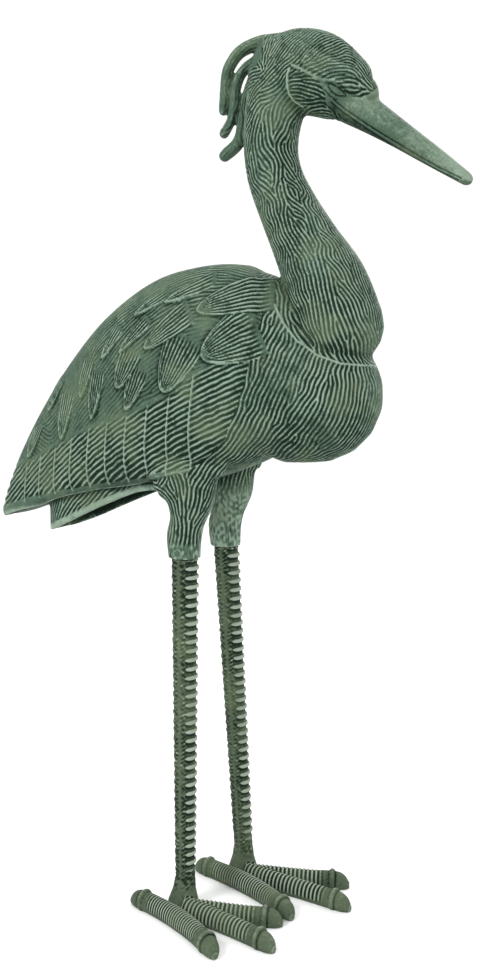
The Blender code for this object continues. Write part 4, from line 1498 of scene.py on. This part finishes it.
def toe(name, leg, start, heading, end_heading, length, both_ends):
    """One toe along a gentle curve, with its cuff and nail."""
    angle = np.linspace(0, 2 * math.pi, TOE_SIDES, endpoint=False)
    ankle = leg_point(leg, 0)
    turn = math.radians(end_heading - heading) / length
    begin = math.radians(heading)
    rings = []
    for along in np.arange(0, length + TOE_STEP / 2, TOE_STEP):
        size = toe_size(along, length, both_ends)
        here = begin + turn * along
        forward = (math.sin(here) - math.sin(begin)) / turn
        across = (math.cos(begin) - math.cos(here)) / turn
        level = TOE_LEVEL - (1 - size) * TOE_HALF_HEIGHT * TIP_SINK
        centre = ankle + Vector((start[0] + forward, start[1] + across, level))
        sideways = Vector((-math.sin(here), math.cos(here), 0)) * TOE_HALF_WIDTH * size
        up = Vector((0, 0, TOE_HALF_HEIGHT * size))
        rings.append([centre + sideways * math.cos(a) + up * math.sin(a) for a in angle])
    return loft(name, rings)


# %% Rings cut across the toes
# A toe's middle is an arc, so a place's direction from the arc's centre says how far along it lies.
TOE_RING_PITCH = 0.0048
ROLL_RING_PITCH = 0.0037
RING_DEPTH = 0.0013
RING_FADE = 0.020
RING_START = 0.001
RING_FADE_BELOW = (-0.45, 0.05)
SKIN_REACH = (1.06, 1.16)
NAIL_LINE_WIDTH = 0.0016


def toe_rings(leg, places):
    """The groove between rings, how strongly it is cut, and the dark line behind each nail."""
    groove, strength, nail_line = (np.zeros(len(places)) for _ in range(3))
    ankle = leg_point(leg, 0)
    for start, heading, end_heading, length, both_ends in leg["toes"]:
        turn = math.radians(end_heading - heading) / length
        begin = math.radians(heading)
        from_x = (places[:, 0] - ankle.x - start[0]) * turn + math.sin(begin)
        from_y = (places[:, 1] - ankle.y - start[1]) * turn - math.cos(begin)
        along = (np.arctan2(from_x, -from_y) - begin) / turn
        beside = (np.hypot(from_x, from_y) - 1) / abs(turn) / TOE_HALF_WIDTH
        above = (places[:, 2] - TOE_LEVEL) / TOE_HALF_HEIGHT
        on_toe = 1 - between(np.hypot(beside, above), *SKIN_REACH)
        on_toe *= (along > 0) * (along < length)
        from_end = length - along
        if both_ends:
            from_end = np.minimum(from_end, along)
        pitch = ROLL_RING_PITCH if both_ends else TOE_RING_PITCH
        cut_here = on_toe * between(from_end, NAIL_LENGTH + RING_START, NAIL_LENGTH + RING_FADE)
        cut_here *= between(above, *RING_FADE_BELOW)
        nearer = cut_here > strength
        groove[nearer] = (0.5 - 0.5 * np.cos(2 * math.pi * along / pitch))[nearer]
        strength = np.maximum(strength, cut_here)
        behind_nail = ridge(from_end - NAIL_LENGTH + CUFF_LENGTH, NAIL_LINE_WIDTH)
        nail_line = np.maximum(nail_line, on_toe * behind_nail)
    return groove, strength, nail_line


# %% Relief and wear of a leg
LEG_FROM_Z = (0.022, 0.030)
PEBBLE_SIZE = 0.0046
PEBBLE_RISE = 0.00035
PLAIN_SIDE_FACING = -0.05
PLAIN_SIDE_WIDTH = 0.35
PLAIN_SIDE_SHARE = 0.7
LEG_PLAIN_WEAR = 0.42
PEBBLE_WEAR = 0.22
ROUGH_SIDE_WEAR = -0.18
PLAIN_SIDE_WEAR = 0.05
BACK_RIDGE_WEAR = 0.34
GAP_WEAR = 0.02
BAR_PAINTED_SHADOW = -0.50
RING_WEAR = 0.42
GROOVE_WEAR = -0.95
NAIL_LINE_WEAR = -0.35


def leg_relief(leg, places):
    """How far each place rises, and how worn it is, with a painted shadow under each bar."""
    level = places[:, 2]
    centres = np.array([leg_centre(leg, step) for step in (0.0, ANKLE_Z, LEG_JOINT_Z)])
    out_x = places[:, 0] - np.interp(level, centres[:, 2], centres[:, 0])
    out_y = places[:, 1] - np.interp(level, centres[:, 2], centres[:, 1])
    facing = out_x / np.maximum(np.hypot(out_x, out_y), 1e-9)
    bar, back, front, under = scutes(level, facing)
    on_leg = between(level, *LEG_FROM_Z)
    pebbles = waver(places, PEBBLE_SIZE, seed=21)
    plain_side = ridge(facing - PLAIN_SIDE_FACING, PLAIN_SIDE_WIDTH)
    rough = on_leg * (1 - front) * (1 - PLAIN_SIDE_SHARE * plain_side) * pebbles
    groove, ring_strength, nail_line = toe_rings(leg, places)
    rise = rough * PEBBLE_RISE - groove * ring_strength * RING_DEPTH
    side_wear = (PEBBLE_WEAR * pebbles + ROUGH_SIDE_WEAR) * (1 - plain_side)
    side_wear += PLAIN_SIDE_WEAR * plain_side + BACK_RIDGE_WEAR * back
    # Painted shadow: a dark line under each bar in front.
    front_wear = GAP_WEAR * front + BAR_PAINTED_SHADOW * under
    wear_and_shade = LEG_PLAIN_WEAR + on_leg * ((1 - front) * side_wear + front_wear)
    wear_and_shade += (1 - wear_and_shade) * bar * on_leg
    wear_and_shade += ring_strength * (RING_WEAR + GROOVE_WEAR * groove) + nail_line * NAIL_LINE_WEAR
    return rise, np.clip(wear_and_shade, 0, 1)


# %% Melt each leg with its foot, carve it and note its wear and painted shadow
LEG_VOXEL = 0.0007
LEG_SOFTENING = 1
LEG_TRIANGLES = 160000
LEG_HOLLOW_ROUNDS = 12
LEG_HOLLOW_SCALE = 0.0006


def make_leg(side, leg):
    """One fine leg with its foot."""
    pieces = [shank("shank", leg)]
    pieces += [toe(f"toe_{number}", leg, *values) for number, values in enumerate(leg["toes"])]
    obj = join(f"{side}_leg_casting", pieces)
    melt(obj, LEG_VOXEL, LEG_SOFTENING)
    places = points_of(obj)
    rise, wear_and_shade = leg_relief(leg, places)
    places = places + normals_of(obj) * rise[:, None]
    places[:, 2] = np.maximum(places[:, 2], 0.0)
    move_points(obj, places)
    note(obj, "wear_and_shade", wear_and_shade)
    note(obj, "hollow", hollowness(obj, LEG_HOLLOW_ROUNDS, LEG_HOLLOW_SCALE))
    thin(obj, LEG_TRIANGLES)
    return obj


legs = {side: make_leg(side, leg) for side, leg in LEGS.items()}

# %% [markdown]
# ## Pins
#
# A round pin holds each leg in its thigh. Its head is a low dome, worn light at its edge.

# %% Pin heads
PIN_RADIUS = 0.0046
PIN_ABOVE_JOINT = 0.0068
PIN_HEAD_RISE = 0.0010
PIN_LENGTH = 0.0105
PIN_SIDES = 64
PIN_DOME_STEPS = 10
PIN_DOME_START = 0.06
PIN_EDGE = (0.70, 0.90)
PIN_EDGE_WEAR = 0.28


def make_pin(side, leg):
    """A turned pin with a low domed head, lying across the leg."""
    way = math.copysign(1.0, leg["top"][1])
    centre = leg_point(leg, LEG_JOINT_Z + PIN_ABOVE_JOINT)
    start = LEG_TOP_RADIUS + COLLAR_LIP
    dome = np.linspace(PIN_DOME_START, math.pi / 2, PIN_DOME_STEPS)
    profile = [(PIN_RADIUS * math.sin(turn), PIN_HEAD_RISE * math.cos(turn)) for turn in dome]
    profile.append((PIN_RADIUS, -PIN_LENGTH))
    angle = np.linspace(0, 2 * math.pi, PIN_SIDES, endpoint=False)
    rings = []
    for radius, out in profile:
        level = way * (start + out)
        rings.append([centre + Vector((radius * math.cos(a), level, radius * math.sin(a))) for a in angle])
    obj = loft(f"{side}_pin", rings)
    obj.data.shade_smooth()
    from_centre = points_of(obj) - np.array(centre)
    from_axis = np.hypot(from_centre[:, 0], from_centre[:, 2]) / PIN_RADIUS
    note(obj, "wear_and_shade", PLAIN_WEAR + PIN_EDGE_WEAR * between(from_axis, *PIN_EDGE))
    note(obj, "hollow", np.zeros(len(from_axis)))
    return obj


pins = {side: make_pin(side, leg) for side, leg in LEGS.items()}
print("pins", [pin.name for pin in pins.values()])

# %% [markdown]
# ## Verdigris
#
# The finish is nearly black green in the cuts, grey green where it was wiped, and paler on the
# ridges. One node group turns the two numbers on the points, wear with its painted shade and
# hollowness, and some noise, into a tone. Each material then adds its own colours.

# %% Node helpers
def link(tree, source, target):
    tree.links.new(source, target)


def group_socket(group, name, way, kind, value=None):
    socket = group.interface.new_socket(name, in_out=way, socket_type=kind)
    if value is not None:
        socket.default_value = value
    return socket


def math_node(tree, operation, one, two, clamp=False):
    node = tree.nodes.new("ShaderNodeMath")
    node.operation = operation
    node.use_clamp = clamp
    for socket, value in zip(node.inputs, (one, two)):
        if isinstance(value, (int, float)):
            socket.default_value = value
        else:
            link(tree, value, socket)
    return node.outputs[0]


def noise_node(tree, scale, detail, roughness=0.55):
    place = tree.nodes.new("ShaderNodeTexCoord")
    noise = tree.nodes.new("ShaderNodeTexNoise")
    noise.inputs["Scale"].default_value = scale
    noise.inputs["Detail"].default_value = detail
    noise.inputs["Roughness"].default_value = roughness
    link(tree, place.outputs["Object"], noise.inputs["Vector"])
    return noise.outputs["Fac"]


def attribute(tree, name):
    node = tree.nodes.new("ShaderNodeAttribute")
    node.attribute_name = name
    return node.outputs["Fac"]


# %% The wiped patina group
BROAD_NOISE_SCALE = 22
FINE_NOISE_SCALE = 380
PATINA_DETAIL = 4


def make_patina_shade_group():
    """Puts out a tone: 0 in the cuts, about a half where wiped, 1 on the rubbed ridges, with the painted
    shade and light that the points carry.
    """
    tree = bpy.data.node_groups.new("wiped patina with painted shade", "ShaderNodeTree")
    group_socket(tree, "Wear and shade weight", "INPUT", "NodeSocketFloat", 0.9)
    group_socket(tree, "Hollow weight", "INPUT", "NodeSocketFloat", 0.4)
    group_socket(tree, "Mottle", "INPUT", "NodeSocketFloat", 0.2)
    group_socket(tree, "Base tone", "INPUT", "NodeSocketFloat", 0.05)
    group_socket(tree, "Tone", "OUTPUT", "NodeSocketFloat")
    group_socket(tree, "Mottle mask", "OUTPUT", "NodeSocketFloat")
    inside = tree.nodes.new("NodeGroupInput")
    outside = tree.nodes.new("NodeGroupOutput")
    weighted_wear_and_shade = math_node(tree, "MULTIPLY", attribute(tree, "wear_and_shade"), inside.outputs["Wear and shade weight"])
    hollow = math_node(tree, "MULTIPLY", attribute(tree, "hollow"), inside.outputs["Hollow weight"])
    broad = noise_node(tree, BROAD_NOISE_SCALE, PATINA_DETAIL)
    fine = noise_node(tree, FINE_NOISE_SCALE, PATINA_DETAIL)
    speckle = math_node(tree, "SUBTRACT", math_node(tree, "ADD", broad, fine), 1.0)
    mottle = math_node(tree, "MULTIPLY", speckle, inside.outputs["Mottle"])
    tone = math_node(tree, "ADD", inside.outputs["Base tone"], weighted_wear_and_shade)
    tone = math_node(tree, "SUBTRACT", tone, hollow)
    tone = math_node(tree, "ADD", tone, mottle, clamp=True)
    link(tree, tone, outside.inputs["Tone"])
    link(tree, broad, outside.inputs["Mottle mask"])
    return tree


patina_shade_group = make_patina_shade_group()


# %% The cast surface group
PIT_SCALE = 900
PIT_DETAIL = 3
DIMPLE_SCALE = 240
DIMPLE_DETAIL = 2


def make_grain_group():
    """Puts out the height of sand-cast grain: fine pits over soft dimples."""
    tree = bpy.data.node_groups.new("cast grain", "ShaderNodeTree")
    group_socket(tree, "Pits", "INPUT", "NodeSocketFloat", 0.6)
    group_socket(tree, "Dimples", "INPUT", "NodeSocketFloat", 0.5)
    group_socket(tree, "Height", "OUTPUT", "NodeSocketFloat")
    inside = tree.nodes.new("NodeGroupInput")
    outside = tree.nodes.new("NodeGroupOutput")
    pit_noise = noise_node(tree, PIT_SCALE, PIT_DETAIL)
    pits = math_node(tree, "MULTIPLY", pit_noise, inside.outputs["Pits"])
    dimple_noise = noise_node(tree, DIMPLE_SCALE, DIMPLE_DETAIL)
    dimples = math_node(tree, "MULTIPLY", dimple_noise, inside.outputs["Dimples"])
    link(tree, math_node(tree, "ADD", pits, dimples), outside.inputs["Height"])
    return tree


grain_group = make_grain_group()


# %% Materials of the casting
CUT_TONE = 0.12
WIPED_TONE = 0.5
RIDGE_TONE = 0.88
WARM_ABOVE = 0.48
WARM_STEEPNESS = 2.4
ROUGHNESS_CHANGE = -0.18
BUMP_STRENGTH = 0.35
BUMP_HEIGHT = 0.0006
CAST_SHINE = 0.08


def place_group(tree, group, values):
    node = tree.nodes.new("ShaderNodeGroup")
    node.node_tree = group
    for name, value in values.items():
        node.inputs[name].default_value = value
    return node


def verdigris(name, cut_colour, wiped_colour, ridge_colour, warm_colour, patina_shade, grain, roughness):
    """A finish for one kind of piece, from the shared groups and its own colours."""
    material = bpy.data.materials.new(name)
    material.use_nodes = True
    tree = material.node_tree
    shader = tree.nodes["Principled BSDF"]
    tone = place_group(tree, patina_shade_group, patina_shade)
    ramp = tree.nodes.new("ShaderNodeValToRGB")
    ramp.color_ramp.interpolation = "EASE"
    stops = ramp.color_ramp.elements
    stops[0].position, stops[0].color = CUT_TONE, (*cut_colour, 1)
    stops[1].position, stops[1].color = RIDGE_TONE, (*ridge_colour, 1)
    middle = stops.new(WIPED_TONE)
    middle.color = (*wiped_colour, 1)
    link(tree, tone.outputs["Tone"], ramp.inputs["Fac"])
    warm = tree.nodes.new("ShaderNodeMix")
    warm.data_type = "RGBA"
    warm.inputs["B"].default_value = (*warm_colour, 1)
    above = math_node(tree, "SUBTRACT", tone.outputs["Mottle mask"], WARM_ABOVE)
    patch = math_node(tree, "MULTIPLY", above, WARM_STEEPNESS, clamp=True)
    link(tree, patch, warm.inputs["Factor"])
    link(tree, ramp.outputs["Color"], warm.inputs["A"])
    link(tree, warm.outputs["Result"], shader.inputs["Base Color"])
    rough = math_node(tree, "MULTIPLY", tone.outputs["Tone"], ROUGHNESS_CHANGE)
    link(tree, math_node(tree, "ADD", rough, roughness), shader.inputs["Roughness"])
    cast = place_group(tree, grain_group, grain)
    bump = tree.nodes.new("ShaderNodeBump")
    bump.inputs["Strength"].default_value = BUMP_STRENGTH
    bump.inputs["Distance"].default_value = BUMP_HEIGHT
    link(tree, cast.outputs["Height"], bump.inputs["Height"])
    link(tree, bump.outputs["Normal"], shader.inputs["Normal"])
    shader.inputs["Metallic"].default_value = 0.0
    shader.inputs["Specular IOR Level"].default_value = CAST_SHINE
    return material


CUT_COLOUR = (0.005, 0.014, 0.008)
WIPED_COLOUR = (0.053, 0.090, 0.062)
RIDGE_COLOUR = (0.205, 0.275, 0.215)
WARM_COLOUR = (0.085, 0.116, 0.060)
LEG_WIPED_COLOUR = (0.064, 0.088, 0.055)
LEG_RIDGE_COLOUR = (0.260, 0.305, 0.245)

body_finish = verdigris("verdigris_body", CUT_COLOUR, WIPED_COLOUR, RIDGE_COLOUR, WARM_COLOUR,
                        {"Wear and shade weight": 0.86, "Hollow weight": 0.30, "Mottle": 0.42, "Base tone": 0.07},
                        {"Pits": 0.6, "Dimples": 0.5}, roughness=0.66)
leg_finish = verdigris("verdigris_legs", CUT_COLOUR, LEG_WIPED_COLOUR, LEG_RIDGE_COLOUR, WARM_COLOUR,
                       {"Wear and shade weight": 0.80, "Hollow weight": 0.55, "Mottle": 0.50, "Base tone": 0.08},
                       {"Pits": 0.7, "Dimples": 0.6}, roughness=0.64)
pin_finish = verdigris("verdigris_pins", CUT_COLOUR, WIPED_COLOUR, RIDGE_COLOUR, WARM_COLOUR,
                       {"Wear and shade weight": 0.80, "Hollow weight": 0.0, "Mottle": 0.2, "Base tone": 0.08},
                       {"Pits": 0.5, "Dimples": 0.3}, roughness=0.58)

# %% [markdown]
# ## Standing on the frame
#
# The castings move by the one shift, take their finish, and each stands for its own solid.

# %% Dress the frame
def dress(obj, finish, node):
    """Move a piece into the frame, give it its finish and let it stand for its solid."""
    obj.data.transform(Matrix.Translation(SHIFT))
    obj.data.materials.clear()
    obj.data.materials.append(finish)
    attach(obj, "root")
    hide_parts(node)


dress(body, body_finish, "body")
for side in LEGS:
    dress(legs[side], leg_finish, f"{side}_leg")
    dress(pins[side], pin_finish, f"{side}_leg_pin")
